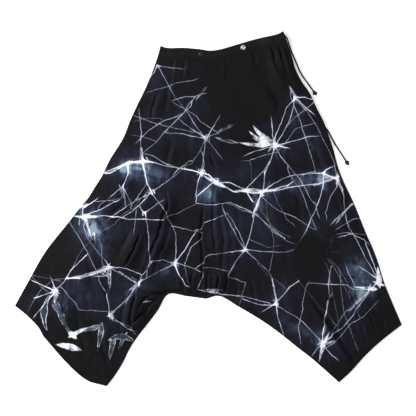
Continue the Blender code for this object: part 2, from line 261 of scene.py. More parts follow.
CREASE_REACH = 110.0
CREASE_FADE = 30.0
CREASE_PITCH = 5.0
RIDGE_RISE = 1.5
TROUGH_DEPTH = 2.7
TROUGH_PLACE = 1.9
TROUGH_SPREAD = 0.85
SLIP = 0.75
SLIP_REACH = 38.0


@dataclass(frozen=True)
class Crease:
    """A ridge of the front cloth with a long flank and a short one that ends in a trough.

    Attributes:
        path: What its crest runs through. The short flank lies to the left of it.
        ridge: How high it stands.
        long: The half width of its long flank.
        short: The half width of its short flank.
        trough: How deep the trough is at the foot of the short flank.
        tuck: How much cloth is folded out of sight there.
    """

    path: Points
    ridge: float
    long: float = 15.0
    short: float = 4.0
    trough: float = 2.0
    tuck: float = 4.0

    def read(self, points: Array) -> tuple[Array, Array, Array]:
        """Work out the crease at some places.

        Args:
            points: Places, flat.

        Returns:
            Which of the places it reaches, its height at each, and how far each is from the
            cloth that would lie there without it.
        """
        last = len(self.path) - 1
        crest = evenly(curve_at(self.path, np.linspace(0, last, 12 * last + 1)), CREASE_PITCH)
        close = close_to(crest, points, CREASE_REACH)
        foot, at, side = foot_on(crest, points[close])
        far = norm(foot)
        off = far * side + 0.8 * np.sin(0.8 * at + 7 * self.ridge)
        off = off + 1.3 * np.sin(0.31 * at + self.long)
        arch = np.clip(np.sin(math.pi * at / (len(crest) - 1)), 0.0, 1.0) ** ARCH
        arch = arch * smooth((CREASE_REACH - far) / CREASE_FADE)
        height = RIDGE_RISE * self.ridge * bell(off, np.where(off > 0, self.short, self.long))
        depth = TROUGH_DEPTH * self.trough * (0.85 + 0.25 * np.sin(0.45 * at + 3 * self.short))
        height -= depth * bell(off - TROUGH_PLACE * self.short, TROUGH_SPREAD * self.short)
        left = -foot * (side / far.clip(1e-6))[:, None]
        slip = SLIP * self.tuck * arch * np.tanh(off / 1.4) * np.exp(-np.abs(off) / SLIP_REACH)
        return close, height * arch, left * slip[:, None]


WAIST = table(
    WaistStation,
    (-146, 496, -7), (-123, 489.5, -6), (-75, 490, -4), (-27, 486, -2), (5, 481.5, -1),
    (40, 486.5, 0), (97, 503, 3), (150, 518, 5), (206, 530, 8), (229, 541, 9),
)
CENTRE_STATION = 5
HIP = table(
    HipSection,
    (-170, 420, 29, 400, 253, 470), (-193, 365, 23, 335, 266, 425), (-217, 316, 16, 260, 285, 387),
    (-238, 270, 9, 180, 310, 350), (-258, 219, -1, 100, 332, 303), (-280, 182, -15, 20, 352, 264),
    (-303, 145, -19, -60, 366, 225), (-324, 101, -13, -140, 382, 178),
    (-346, 66, -9, -215, 396, 126), (-363, 38, -7, -275, 413, 82),
)
LEFT_LEG = table(
    LegSection,
    (-379, 18, -66, -267), (-396, -2, -122, -261), (-426, -41, -153, -309), (-461, -84, -186, -353),
    (-492, -124, -213, -387), (-518, -165, -240, -428), (-543, -211, -260, -469),
    (-568, -256, -285, -509), (-590, -296, -310, -541),
)
RIGHT_LEG = table(
    LegSection,
    (432, 42, 35, -267), (450, 2, 92, -299), (468, -43, 140, -327), (485, -84, 186, -357),
    (502, -122, 229, -389), (518, -165, 270, -422), (535, -221, 314, -456), (557, -276, 358, -494),
    (590, -354, 398, -530),
)
LEFT_HEM = table(
    HemStation,
    (0.0, 0), (0.12, -2), (0.26, 2), (0.34, 13), (0.64, 27), (0.85, 26), (1.0, 0),
)
RIGHT_HEM = table(
    HemStation,
    (0.0, 0), (0.3, -6), (0.55, -6), (0.8, 0), (1.0, 0),
)
FOLDS = table(
    Fold,
    (-134, 352, -176, 262, 5, 20), (-118, 60, -132, -60, 6, 22), (-196, -50, -252, -180, 9, 24),
    (-142, -80, -196, -236, 11, 26), (-236, -262, -206, -372, 9, 22),
    (-206, -236, -128, -240, 10, 20), (-428, -225, -424, -380, 6, 28),
    (-330, -40, -400, -300, 4, 40), (24, 90, 30, -130, 5, 26), (62, -60, 78, -200, 5, 26),
    (34, -185, 38, -248, 8, 20), (190, 450, 236, 360, 6, 20), (222, 500, 282, 350, 5, 18),
    (330, -300, 446, -470, 6, 30), (150, 120, 250, -160, 4, 44), (380, 60, 470, -200, 4, 40),
)
CREASES = table(
    Crease,
   
    (
        ((-190, -205), (-178, -163), (-150, -96), (-129, -23), (-117, 0), (-120, 57)),
        5.5, 18, 4.5, 4.5, 10,
    ),
    (((-250, -184), (-221, -126), (-199, -80)), 4.2, 17, 4.0, 4.0, 7),
    (((-262, -150), (-240, -100), (-222, -66)), 1.8, 10, 7.0, 1.5, 2),
    (((-160, -214), (-146, -160), (-124, -110), (-108, -50)), 2.4, 12, 6.0, 2.0, 4),
    (((-72, -238), (-117, -246), (-172, -250), (-208, -236), (-204, -200)), 5.5, 17, 4.0, 4.5, 13),
    (((-234, -376), (-226, -303), (-214, -252)), 4.2, 14, 4.0, 3.6, 8),
    (((-256, -392), (-252, -330), (-240, -276)), 1.8, 11, 7.0, 1.6, 2),
    (((-16, -262), (-12, -163), (-18, -77), (-10, 10)), 2.4, 12, 3.4, 3.4, 14),
    (((46, -226), (60, -114), (48, -16)), 2.6, 18, 7.0, 1.8, 3),
    (((32, -160), (23, -40), (28, 84)), 2.6, 11, 5.0, 2.2, 4),
    (((80, -190), (84, -90), (70, 20)), 1.6, 15, 9.0, 1.2, 2),
    (((110, -170), (112, -70), (100, 10)), 1.2, 16, 9.0, 1.0, 0),
    (((30, 122), (12, 172)), 1.8, 9, 4.0, 1.6, 3),
    (((-40, -264), (-46, -222), (-40, -190)), 3.4, 9, 3.6, 3.0, 6),
    (((-64, -260), (-72, -226), (-70, -196)), 2.4, 9, 4.0, 2.0, 3),
    (((6, -268), (2, -232), (4, -200)), 3.0, 9, 3.4, 2.8, 4),
    (((30, -264), (36, -226), (34, -190)), 3.6, 10, 3.6, 3.2, 6),
    (((54, -272), (62, -230), (62, -190)), 2.6, 10, 4.0, 2.2, 3),
    (((92, -292), (98, -240), (90, -196)), 1.8, 12, 6.0, 1.4, 2),
    (((152, -300), (146, -246), (136, -206)), 2.2, 13, 5.0, 1.8, 3),
    (((-120, 80), (-112, 140), (-96, 210)), 1.4, 13, 8.0, 1.0, 0),
    (((-36, 130), (-44, 210), (-30, 300)), 1.2, 14, 10.0, 0.9, 0),
    (((-346, -35), (-310, 0), (-273, 38)), 2.4, 17, 7.0, 1.8, 3),
    (((-312, -52), (-262, -6), (-222, 30)), 2.2, 16, 7.0, 1.6, 3),
    (((-262, 58), (-226, 98)), 1.6, 13, 6.0, 1.2, 0),
    (((-222, -20), (-190, 20), (-168, 66)), 1.8, 13, 7.0, 1.4, 2),
    (((-168, 262), (-158, 310), (-145, 350)), 2.5, 14, 4.8, 2.0, 4),
    (((-120, 290), (-112, 350), (-98, 400)), 1.2, 12, 7.0, 1.0, 0),
    (((-70, 392), (-60, 452)), 1.2, 9, 5.0, 0.8, 0),
    (((-104, 400), (-96, 456)), 1.3, 9, 5.0, 0.9, 0),
    (((46, 466), (49, 430), (47, 390)), 0.6, 10, 4.5, 0.3, 0),
    (((48, 392), (100, 394), (154, 388)), 0.8, 12, 4.0, 0.5, 0),
    (((128, 486), (134, 440), (150, 404)), 0.8, 12, 6.0, 0.4, 0),
    (((184, 496), (194, 455), (206, 420)), 1.8, 10, 4.0, 1.0, 0),
    (((206, 500), (218, 455), (236, 410)), 2.0, 9, 4.0, 1.2, 0),
    (((226, 494), (242, 446), (262, 400)), 2.0, 8, 4.0, 1.2, 0),
    (((238, 452), (266, 400), (282, 366)), 1.6, 9, 5.0, 0.9, 2),
    (((162, 372), (190, 330), (202, 290)), 1.2, 14, 9.0, 0.9, 0),
    (((300, -60), (290, 40), (252, 132)), 1.8, 22, 10.0, 1.2, 0),
    (((226, -180), (214, -70), (192, 40)), 1.5, 20, 10.0, 1.0, 0),
    (((448, -112), (430, -40), (398, 40)), 2.0, 17, 7.0, 1.4, 2),
    (((376, 84), (352, 150), (330, 214)), 1.5, 15, 8.0, 1.1, 0),
    (((310, -290), (364, -366), (404, -432), (440, -486)), 5.0, 18, 7.0, 4.0, 6),
    (((424, -250), (436, -300), (450, -350)), 2.4, 14, 6.0, 2.2, 2),
    (((-236, -364), (-204, -332), (-172, -302)), 3.2, 9, 3.4, 3.2, 4),
    (((-214, -318), (-196, -284), (-166, -270)), 3.2, 8, 3.0, 3.2, 3),
    (((-190, -340), (-178, -304), (-146, -280)), 2.8, 8, 3.0, 2.8, 3),
    (((496, -420), (480, -372), (470, -330)), 1.4, 9, 5.0, 1.2, 0),
    (((526, -392), (512, -350), (496, -312)), 1.6, 8, 4.6, 1.3, 0),
    (((548, -372), (538, -336), (528, -306)), 1.2, 7, 4.2, 1.0, 0),
    (((474, -384), (446, -320), (400, -262)), 2.0, 16, 8.0, 1.4, 2),
    (((526, -336), (510, -270), (484, -204)), 1.6, 15, 8.0, 1.2, 0),
    (((256, -376), (252, -310), (238, -240)), 1.6, 17, 9.0, 1.1, 0),
    (((-428, -340), (-432, -290), (-424, -244)), 2.4, 18, 6.0, 2.0, 3),
    (((-290, -312), (-300, -270), (-297, -232)), 2.2, 14, 5.0, 1.8, 3),
    (((-410, -334), (-446, -240), (-474, -172)), 1.8, 18, 10.0, 1.2, 0),
    (((-350, -450), (-374, -390), (-382, -330)), 1.8, 17, 8.0, 1.3, 2),
    (((-292, -476), (-314, -410), (-304, -352)), 2.4, 16, 6.0, 1.8, 3),
    (((-296, -534), (-322, -490), (-346, -456)), 1.6, 13, 8.0, 1.2, 0),
    (((-400, -470), (-424, -430), (-430, -396)), 1.4, 13, 8.0, 1.0, 0),
    (((-322, -260), (-346, -180), (-352, -110)), 1.8, 17, 9.0, 1.2, 0),
    (((541, -244), (562, -300), (584, -352)), 1.6, 4.5, 3.2, 0.6, 0),
)
RELIEF = (
    Undulation(seed=3, shortest=55, longest=190, height=0.95),
    Undulation(seed=8, shortest=17, longest=46, height=0.22),
)


@dataclass(frozen=True)
class Build:
    """Real sizes of the cloth and its sewing.

    Attributes:
        wall: One thickness of the cloth with the air under it.
        hem_wall: The same where it is doubled into a hem.
        hem_depth: How deep the hem is.
        seam_gap: The air between two pieces.
        band_wall: The waistband's casing, pressed flat at its edges.
        band_puff: How much fuller it is along its middle.
        band_height: From its seam to its top edge.
        air_loft, loft_run: How high the front stands on air, and how far in from its edges.
        fold_run: How far in from the edges the folds come to their full height.
        cord, cord_clearance: The drawcord's diameter, and the air round it under the cloth.
        lift_flat, lift_fade: How wide the cloth rests on the hidden cord, and how far it slopes.
        fade_sections: How many sections the waist's and the hem's own curves fade over.
    """

    wall: float = 1.5
    hem_wall: float = 2.2
    hem_depth: float = 22.0
    seam_gap: float = 0.3
    air_loft: float = 4.0
    loft_run: float = 90.0
    fold_run: float = 30.0
    band_wall: float = 2.4
    band_puff: float = 0.5
    band_height: float = 27.0
    cord: float = 4.6
    cord_clearance: float = 0.55
    lift_flat: float = 34.0
    lift_fade: float = 45.0
    fade_sections: float = 1.5

    @property
    def front_band_seat(self) -> float:
        """The height of the front waistband's underside."""
        return self.band_wall + self.band_puff + self.seam_gap


SEWN = Build()


class Half(Enum):
    """Which half of the garment a panel is, left or right as it lies."""

    LEFT = "left"
    RIGHT = "right"


def waist_top(at: Array | float) -> Array:
    """Return the waistband's top edge at these station numbers."""
    return curve_at([(s.x, s.top) for s in WAIST], at)


def waist_seam(at: Array | float) -> Array:
    """Return the waistband's lower edge at these station numbers."""
    return curve_at([(s.x + s.lean, s.top - SEWN.band_height) for s in WAIST], at)


@dataclass(frozen=True)
class Panel:
    """One half of the front or back, as sections from the waist seam to the hem.

    Attributes:
        side: The side seam's points, a section each.
        inner: The centre seam's and then the inseam's points, a section each.
        waist: The station numbers of the side seam and the centre seam.
        hem: How the hem stands out past a straight line.
        corner: The section at the crotch, where the inner edge turns.
    """

    side: Array
    inner: Array
    waist: tuple[float, float]
    hem: tuple[HemStation, ...]
    corner: int = len(HIP)

    @property
    def last(self) -> int:
        """The number of the last section, the hem's."""
        return len(self.side) - 1

    def inner_at(self, row: Array) -> Array:
        """Return places on the inner edge, which turns at the crotch."""
        seam = curve_at(self.inner[: self.corner + 1], np.minimum(row, self.corner))
        leg = curve_at(self.inner[self.corner :], np.maximum(row - self.corner, 0.0))
        return np.where((np.asarray(row) <= self.corner)[..., None], seam, leg)

    def hem_out(self, across: Array) -> Array:
        """Return how far the hem stands out at these shares of its width."""
        at = np.interp(across, [s.along for s in self.hem], np.arange(len(self.hem)))
        return curve_at([(s.out,) for s in self.hem], at)[..., 0]

    def point(self, row: Array, across: Array) -> Array:
        """Return places on the panel, flat, at these sections and shares across it."""
        row, across = np.broadcast_arrays(np.asarray(row, float), np.asarray(across, float))
        side, inner = curve_at(self.side, row), self.inner_at(row)
        place = side + (inner - side) * across[..., None]
        start, end = self.waist
        seam = waist_seam(start + (end - start) * across)
        low_start, low_end = waist_seam(start), waist_seam(end)
        straight = low_start + (low_end - low_start) * across[..., None]
        place = place + (seam - straight) * smooth(1 - row / SEWN.fade_sections)[..., None]
        along = self.inner[-1] - self.side[-1]
        along = along / np.linalg.norm(along)
        outward = np.array((along[1], -along[0]))
        outward = outward * (-1 if outward[1] > 0 else 1)
        out = self.hem_out(across) * smooth(1 - (self.last - row) / SEWN.fade_sections)
        return place + outward * out[..., None]

    def wall(self, row: Array) -> Array:
        """Return the cloth's thickness at these sections: doubled into a hem at its end."""
        far = norm(curve_at(self.side, row) - self.side[-1])
        return SEWN.wall + (SEWN.hem_wall - SEWN.wall) * smooth(2 - far / SEWN.hem_depth)

    def free_reach(self, row: Array, place: Array) -> Array:
        """Return how far these places are from the side seam, the hem and the leg's inner edge."""
        hem_run = self.inner[-1] - self.side[-1]
        share = ((place - self.side[-1]) @ hem_run / (hem_run @ hem_run))[..., None]
        to_hem = norm(place - self.side[-1] - share * hem_run)
        to_side = norm(place - curve_at(self.side, row))
        below = (np.asarray(row) > self.corner)[..., None]
        inner = np.where(below, self.inner_at(row), self.inner[self.corner])
        return np.minimum(np.minimum(to_hem, to_side), norm(place - inner))


def make_panel(half: Half) -> Panel:
    """Return the panel of one half, from the hip's and the leg's sections."""
    left = half is Half.LEFT
    ends = (0.0, float(CENTRE_STATION)) if left else (len(WAIST) - 1.0, float(CENTRE_STATION))
    legs = LEFT_LEG if left else RIGHT_LEG
    sides = [(s.left_x, s.left_y) if left else (s.right_x, s.right_y) for s in HIP]
    sides += [(s.side_x, s.side_y) for s in legs]
    inner = [(s.centre_x, s.centre_y) for s in HIP] + [(s.inner_x, s.inner_y) for s in legs]
    return Panel(
        side=np.array([tuple(waist_seam(ends[0]))] + sides, float),
        inner=np.array([tuple(waist_seam(ends[1]))] + inner, float),
        waist=ends,
        hem=LEFT_HEM if left else RIGHT_HEM,
    )


PANELS = {half: make_panel(half) for half in Half}


@dataclass(frozen=True)
class Rows:
    """The cross lines of a shell, from the waist seam to the hem and round under it.

    Attributes:
        at: Section numbers.
        to_hem: The distance from each line to the hem.
        under: Whether the line is on the turned-in side of the hem.
    """

    at: Array
    to_hem: Array
    under: Array


WAIST_LINES = (0.1, 1.0, 2.2, 3.8)
CROTCH_LINES = (-3.0, -1.6, -0.8, -0.3, 0.0, 0.8, 1.8, 3.2)
HEM_ROLL = (2.4, 1.1, 0.55, 0.18, 0.0)
HEM_TURNED_IN = (0.18, 0.55, 1.1, 5.0, 12.0)
EDGE_LINES = (0.0, 0.22, 0.6, 1.2, 2.0, 3.2)
CURL = 2.6
EDGE_REACH = 14.0
NO_SEAM = 99.0
SEAM_HALF_WIDTH = 2.2
HEM_SEWING = 20.0


def shell_rows(panel: Panel, pitch: float) -> Rows:
    """Space a shell's cross lines evenly, and closer at the waist, the crotch and the hem."""
    fine = np.linspace(0.0, panel.last, 60 * panel.last + 1)
    lines = [panel.point(fine, share) for share in (0.0, 0.5, 1.0)]
    far = np.mean([walked(line) for line in lines], axis=0)
    turn = np.interp(panel.corner, fine, far)
    upper = np.linspace(6.0, turn - 5.0, round((turn - 11.0) / pitch) + 1)
    lower = np.linspace(turn + 5.0, far[-1] - 4.0, round((far[-1] - turn - 9.0) / pitch) + 1)
    extra = [*WAIST_LINES, *(turn + d for d in CROTCH_LINES), *(far[-1] - d for d in HEM_ROLL)]
    top = np.sort(np.concatenate([upper, lower, extra]))
    turned = far[-1] - np.array(HEM_TURNED_IN)
    every = np.concatenate([top, turned])
    under = np.arange(len(every)) >= len(top)
    return Rows(at=np.interp(every, far, fine), to_hem=far[-1] - every, under=under)


def shell_shares(panel: Panel, rows: Rows, columns: int) -> Array:
    """Return each cross line's shares: even ones, and some at set distances from both edges."""
    width = norm(curve_at(panel.side, rows.at) - panel.inner_at(rows.at))
    edge = np.array(EDGE_LINES)[None] / width[:, None]
    near = (EDGE_LINES[-1] + 1.6) / width[:, None]
    middle = near + (1 - 2 * near) * np.linspace(0.0, 1.0, columns)[None]
    return np.concatenate([edge, middle, 1 - edge[:, ::-1]], axis=1)


# --- the drawcord


@dataclass(frozen=True)
class RoutePoint:
    """A point that a cord's centreline passes through, on the surface unless z is given."""

    x: float
    y: float
    z: float = 2.35


CORD_UPPER_ROUTE = table(
    RoutePoint,
    (230.5, 528.5, 7.8), (236.2, 522.8, 8.8), (240.4, 516, 9.2), (243.6, 507, 7.4),
    (247.7, 495, 4.8), (251.5, 484, 3.0), (255, 474.5), (265.5, 450), (278, 421), (288, 403),
    (303, 382), (319.6, 358.8),
)
CORD_LOWER_ROUTE = table(
    RoutePoint,
    (224, 520), (231, 498), (239, 468), (247, 440), (261, 405), (284, 365), (302, 330), (321, 295),
    (341, 265), (361, 242), (373.2, 221), (389, 192), (404.5, 168), (418.6, 146),
)
HIDDEN_POINTS = 10


def cord_lift(place: Array) -> Array:
    """Return how far the cloth is held up at these places by the cord that passes under it."""
    hidden = np.array([(p.x, p.y) for p in CORD_LOWER_ROUTE[:HIDDEN_POINTS]])
    nearest = gap_to(hidden, place, SEWN.lift_flat + SEWN.lift_fade)
    share = smooth(1 - (nearest - SEWN.lift_flat) / SEWN.lift_fade)
    return (SEWN.cord + SEWN.cord_clearance) * share


# --- the dye


@dataclass(frozen=True)
class Star:
    """A knot of the crackle, where strands meet in a white core.

    Attributes:
        x, y: Its place.
        core: The size of its white core.
        power: How white its strands are.
        rays: Direction in degrees and length of each strand that runs out from it.
        tangle: How many short strands cross in its core.
    """

    x: float
    y: float
    core: float
    power: float
    rays: Points = ()
    tangle: int = 0


@dataclass(frozen=True)
class Tie:
    """A strand between two stars.

    Attributes:
        first, second: The stars, by number.
        power: How white it is.
        bow: How far it bows out from the straight line, to the left.
    """

    first: int
    second: int
    power: float
    bow: float = 0.0


@dataclass(frozen=True)
class Runner:
    """A strand that crosses the cloth by itself.

    Attributes:
        x, y: Where it starts.
        heading: Its direction, in degrees.
        length: How far it runs.
        power: How white it is.
        bends: Sharp corners: how far it turns in degrees, and how far it then runs.
    """

    x: float
    y: float
    heading: float
    length: float
    power: float
    bends: Points = ()


@dataclass(frozen=True)
class Pool:
    """A soft patch where the bleach spread: blue-grey, an ellipse turned by some degrees."""

    x: float
    y: float
    long: float
    short: float
    turn: float
    power: float


@dataclass(frozen=True)
class Blade:
    """A curved sliver of bleached cloth, pointed at both ends.

    Attributes:
        x, y: Its first tip.
        heading: Its direction there, in degrees.
        length: How long it is.
        bend: How far it turns on the way, in degrees.
        wide: Half its greatest width.
        fill: How pale it is inside.
        rim: How white its edge is.
        belly: Where along it it is widest, from 0 to 1.
    """

    x: float
    y: float
    heading: float
    length: float
    bend: float
    wide: float
    fill: float
    rim: float = 0.6
    belly: float = 0.4

    def spine(self) -> Array:
        """Return the line along its middle."""
        share = np.linspace(0.0, 1.0, 15)[:-1]
        turn = np.radians(self.heading + self.bend * share)
        steps = self.length / len(share) * np.column_stack([np.cos(turn), np.sin(turn)])
        return np.vstack([(0.0, 0.0), np.cumsum(steps, axis=0)]) + (self.x, self.y)

    def gap(self, points: Array) -> Array:
        """Return each point's distance to its edge, negative inside."""
        foot, at, _ = foot_on(self.spine(), points)
        share = at / 14.0
        half = self.wide * np.minimum(share / self.belly, (1 - share) / (1 - self.belly)) ** 0.8
        ragged = 1 + 0.09 * np.sin(share * 13.0 + self.x) + 0.05 * np.sin(share * 31.0 + self.y)
        return norm(foot) - half * ragged


@dataclass(frozen=True)
class Rest:
    """A place that the bleach didn't reach: an ellipse with a soft edge."""

    x: float
    y: float
    wide: float
    high: float
    fade: float = 0.16

    def shows(self, points: Array) -> Array:
        """Return how much of the dye's pattern shows at each point, from 0 inside."""
        radius = np.hypot((points[:, 0] - self.x) / self.wide, (points[:, 1] - self.y) / self.high)
        return smooth((radius - 1 + self.fade) / (2 * self.fade))


@dataclass(frozen=True)
class Web:
    """Hairline strands that radiate from a plain middle.

    Attributes:
        x, y: Its middle.
        rays: The directions of its strands, in degrees.
        inner: How far from its middle they start.
        shortest, longest: How long they are.
        power: How white they are.
    """

    x: float
    y: float
    rays: tuple[float, ...]
    inner: float
    shortest: float
    longest: float
    power: float


@dataclass
class Strand:
    """One line of bleach.

    Attributes:
        path: Its points.
        power: How white it is at each.
        half_width: How wide it is at each.
        tint: How much blue it bled into the cloth below it.
    """

    path: Array
    power: Array
    half_width: Array
    tint: float


KINK_PITCH = 38.0
ROUGH_PITCH = 7.5
ROUGHNESS = 0.42
RUN_ON = 50.0
STRAND_REACH = 70.0
STAR_GLOW = 48.0
FADE_MET = 2.0
FADE_FREE = 18.0
UNEVEN_PITCH = 20.0
BLADE_REACH = 12.0


@dataclass
class Draft:
    """A strand's path before it has its look.

    Attributes:
        path: Its points.
        power: How white it is.
        cores: The sizes of the stars at its ends, or 0 where it has none.
        free: Whether each end may run on until it meets another strand.
        met: Whether each end has met another strand.
    """

    path: Array
    power: float
    cores: tuple[float, float] = (0.0, 0.0)
    free: tuple[bool, bool] = (False, True)
    met: tuple[bool, bool] = (False, False)


@dataclass
class Crackle:
    """A crackle of bleach on black cloth, grown from its stars by fixed rules.

    Attributes:
        seed: Which growth.
        stars, ties, runners, pools, blades, rests, webs: What it grows from.
        bold: Strands from stars.
        fine: Strands that run by themselves.
        webbing: Blades in the narrow corners between strands at a star.
    """

    seed: int
    stars: Sequence[Star]
    ties: Sequence[Tie]
    runners: Sequence[Runner]
    pools: Sequence[Pool]
    blades: Sequence[Blade]
    rests: Sequence[Rest]
    webs: Sequence[Web] = ()
    bold: list[Strand] = field(default_factory=list)
    fine: list[Strand] = field(default_factory=list)
    webbing: list[Blade] = field(default_factory=list)

    def __post_init__(self) -> None:
        """Grow all the strands."""
        self.rng = np.random.default_rng(self.seed)
        self.leaving: list[list[float]] = [[] for _ in self.stars]
        bold: list[Draft] = []
        for tie in self.ties:
            first, second = self.stars[tie.first], self.stars[tie.second]
            bow = tie.bow + self.rng.normal(0.0, 3.0)
            path = self.kinked(self.beside(first), self.beside(second), bow)
            bold.append(Draft(path, tie.power, (first.core, second.core), (False, False)))
            self.note(tie.first, path)
            self.note(tie.second, path[::-1])
        for index, star in enumerate(self.stars):
            for heading, length in star.rays:
                start = self.beside(star)
                path = self.kinked(start, self.toward(start, heading, length))
                bold.append(Draft(path, star.power * self.rng.uniform(0.7, 0.95), (star.core, 0.0)))
                self.note(index, path)
        both = (True, True)
        fine = [Draft(self.cornered(r), r.power, free=both) for r in self.runners]
        for web in self.webs:
            fine += self.spin_web(web)
        for draft in bold + fine:
            self.run_on(draft, bold + fine)
        self.bold += [self.strand(draft) for draft in bold]
        self.fine += [self.strand(draft) for draft in fine]
        for star, leaving in zip(self.stars, self.leaving):
            self.knot(star, leaving)
            self.fill_corners(star, sorted(leaving))

    @staticmethod
    def toward(start: Array, heading: float, length: float) -> Array:
        """Return the place this far from the start in this direction."""
        turn = math.radians(heading)
        return np.asarray(start, float) + length * np.array((math.cos(turn), math.sin(turn)))

    def kinked(self, start: Array, end: Array, bow: float | None = None) -> Array:
        """Return a path between two places that kinks a little every few centimetres."""
        start, end = np.asarray(start, float), np.asarray(end, float)
        length = float(np.linalg.norm(end - start))
        kinks = max(2, round(length / KINK_PITCH))
        shift = self.rng.uniform(-0.42, 0.42, kinks - 1)
        shares = np.concatenate([[0.0], (np.arange(1, kinks) + shift) / kinks, [1.0]])
        walk = np.cumsum(self.rng.normal(0.0, 1.0, kinks + 1))
        walk -= walk[0] + (walk[-1] - walk[0]) * shares
        across = np.array((start[1] - end[1], end[0] - start[0])) / length
        if bow is None:
            bow = self.rng.normal(0.0, 0.03) * length
        off = walk * 0.12 * length / kinks + bow * np.sin(math.pi * shares)
        path = start + (end - start) * shares[:, None] + across * off[:, None]
        path = evenly(path, ROUGH_PITCH)
        path[1:-1] += self.rng.normal(0.0, ROUGHNESS, (len(path) - 2, 2))
        return path

    def cornered(self, runner: Runner) -> Array:
        """Return a runner's path, with its sharp corners."""
        corner, heading = np.array((runner.x, runner.y)), 0.0
        path = [corner[None]]
        for turn, length in ((runner.heading, runner.length),) + runner.bends:
            heading += turn
            end = self.toward(corner, heading, length)
            path.append(self.kinked(corner, end)[1:])
            corner = end
        return np.vstack(path)

    def run_on(self, draft: Draft, others: list[Draft]) -> None:
        """Let a strand's free ends run on to the nearest strand ahead, where one is close."""
        for end in (0, 1):
            if not draft.free[end]:
                continue
            path = draft.path if end else draft.path[::-1]
            tip = path[-1]
            ahead = tip - path[-min(4, len(path))]
            ahead = ahead / np.linalg.norm(ahead)
            best, place = RUN_ON, None
            for other in others:
                if other is draft:
                    continue
                step = other.path - tip
                along = step @ ahead
                across = np.abs(step[:, 0] * ahead[1] - step[:, 1] * ahead[0])
                in_front = (along > -3.0) & (across < 4.0 + 0.4 * along)
                cost = np.where(in_front, np.abs(along) + 1.4 * across, np.inf)
                if cost.min() < best:
                    best, place = float(cost.min()), other.path[int(cost.argmin())]
            if place is None:
                continue
            more = self.kinked(tip, place)[1:] if best > 2 * ROUGH_PITCH else place[None]
            path = np.vstack([path, more])
            draft.path = path if end else path[::-1]
            draft.met = (draft.met[0], True) if end else (True, draft.met[1])

    def strand(self, draft: Draft) -> Strand:
        """Give a strand its look: uneven, and whiter and wider towards its stars."""
        path, power, (core, end_core) = draft.path, draft.power, draft.cores
        fade, end_fade = (FADE_MET if met else FADE_FREE for met in draft.met)
        far = walked(path)
        left = far[-1] - far
        near = np.exp(-far / STAR_GLOW) * (core > 0)
        near = np.maximum(near, np.exp(-left / STAR_GLOW) * (end_core > 0))
        level = 0.88 + 0.38 * near
        level *= smooth(far / fade + (core > 0)) * smooth(left / end_fade + (end_core > 0))
        steps = np.arange(0.0, far[-1] + 3 * UNEVEN_PITCH, UNEVEN_PITCH)
        level *= np.interp(far, steps, self.rng.uniform(0.66, 1.14, len(steps)))
        level *= 1.0 + 0.10 * np.sin(far / 3.1 + 9.0 * power) * np.sin(far / 7.3)
        level = np.clip(1.05 * level * power, 0, 1)
        width = 0.22 + 0.34 * level + 0.74 * level**3
        for size, gone in ((core, far), (end_core, left)):
            if size:
                width = width + 0.40 * size * np.exp(-((gone / (1.5 * size)) ** 1.1))
        for met, gone in zip(draft.met, (far, left)):
            width = width + 0.5 * met * bell(gone, 2.6)
            level = np.minimum(level + 0.24 * met * np.exp(-gone / 8.0), 1.0)
        tint = self.rng.uniform(0.0, 1.0) ** 1.6
        return Strand(path, level**1.75, width, tint)

    def beside(self, star: Star) -> Array:
        """Return a place in a star's core, where a strand passes its middle."""
        return np.array((star.x, star.y)) + self.rng.normal(0.0, 0.42 * star.core + 0.4, 2)

    def note(self, index: int, path: Array) -> None:
        """Note the direction in which a strand leaves a star."""
        step = path[min(3, len(path) - 1)] - path[0]
        self.leaving[index].append(math.degrees(math.atan2(step[1], step[0])) % 360)

    def spin_web(self, web: Web) -> list[Draft]:
        """Return a web's rays."""
        rays = []
        for heading in web.rays:
            turn = heading + self.rng.uniform(-3, 3)
            start = self.toward((web.x, web.y), turn, web.inner * self.rng.uniform(0.8, 1.2))
            reach = web.inner + self.rng.uniform(web.shortest, web.longest)
            end = self.toward((web.x, web.y), turn + self.rng.uniform(-5, 5), reach)
            path = self.kinked(start, end, self.rng.uniform(0.02, 0.10) * reach)
            rays.append(Draft(path, web.power * self.rng.uniform(0.6, 1.1)))
        return rays

    def knot(self, star: Star, leaving: list[float]) -> None:
        """Cross a few short strands in a star's core, along the way that its strands go."""
        for _ in range(star.tangle):
            along = self.rng.choice(leaving) if leaving else self.rng.uniform(0, 360)
            along += self.rng.normal(0.0, 26.0)
            reach = star.core * self.rng.uniform(1.2, 3.4)
            off = self.rng.normal(0.0, 0.8 * star.core, 2)
            middle = (star.x, star.y)
            start = self.toward(middle, along, reach) + off
            end = self.toward(middle, along + self.rng.uniform(110, 250), 0.7 * reach) + off
            power = star.power * self.rng.uniform(0.45, 0.85)
            self.fine.append(self.strand(Draft(self.kinked(start, end), power, (0.4, 0.4))))

    def fill_corners(self, star: Star, leaving: list[float]) -> None:
        """Bleach some of the narrow corners between a star's strands."""
        if star.core < 4 or len(leaving) < 2:
            return
        for a, b in zip(leaving, leaving[1:] + leaving[:1]):
            spread = (b - a) % 360
            if 8 < spread < 62 and self.rng.uniform() < 0.7:
                reach = star.core * self.rng.uniform(2.2, 4.6)
                wide = 0.42 * reach * math.sin(math.radians(0.5 * spread))
                fill = star.power * self.rng.uniform(0.3, 0.9)
                sliver = (star.x, star.y, a + spread / 2, reach, 0.0, wide, fill, 0.0, 0.35)
                self.webbing.append(Blade(*sliver))

    def shown(self, points: Array) -> Array:
        """Return how much of the pattern shows at each point."""
        shows = np.ones(len(points))
        for rest in self.rests:
            shows = np.minimum(shows, rest.shows(points))
        return shows

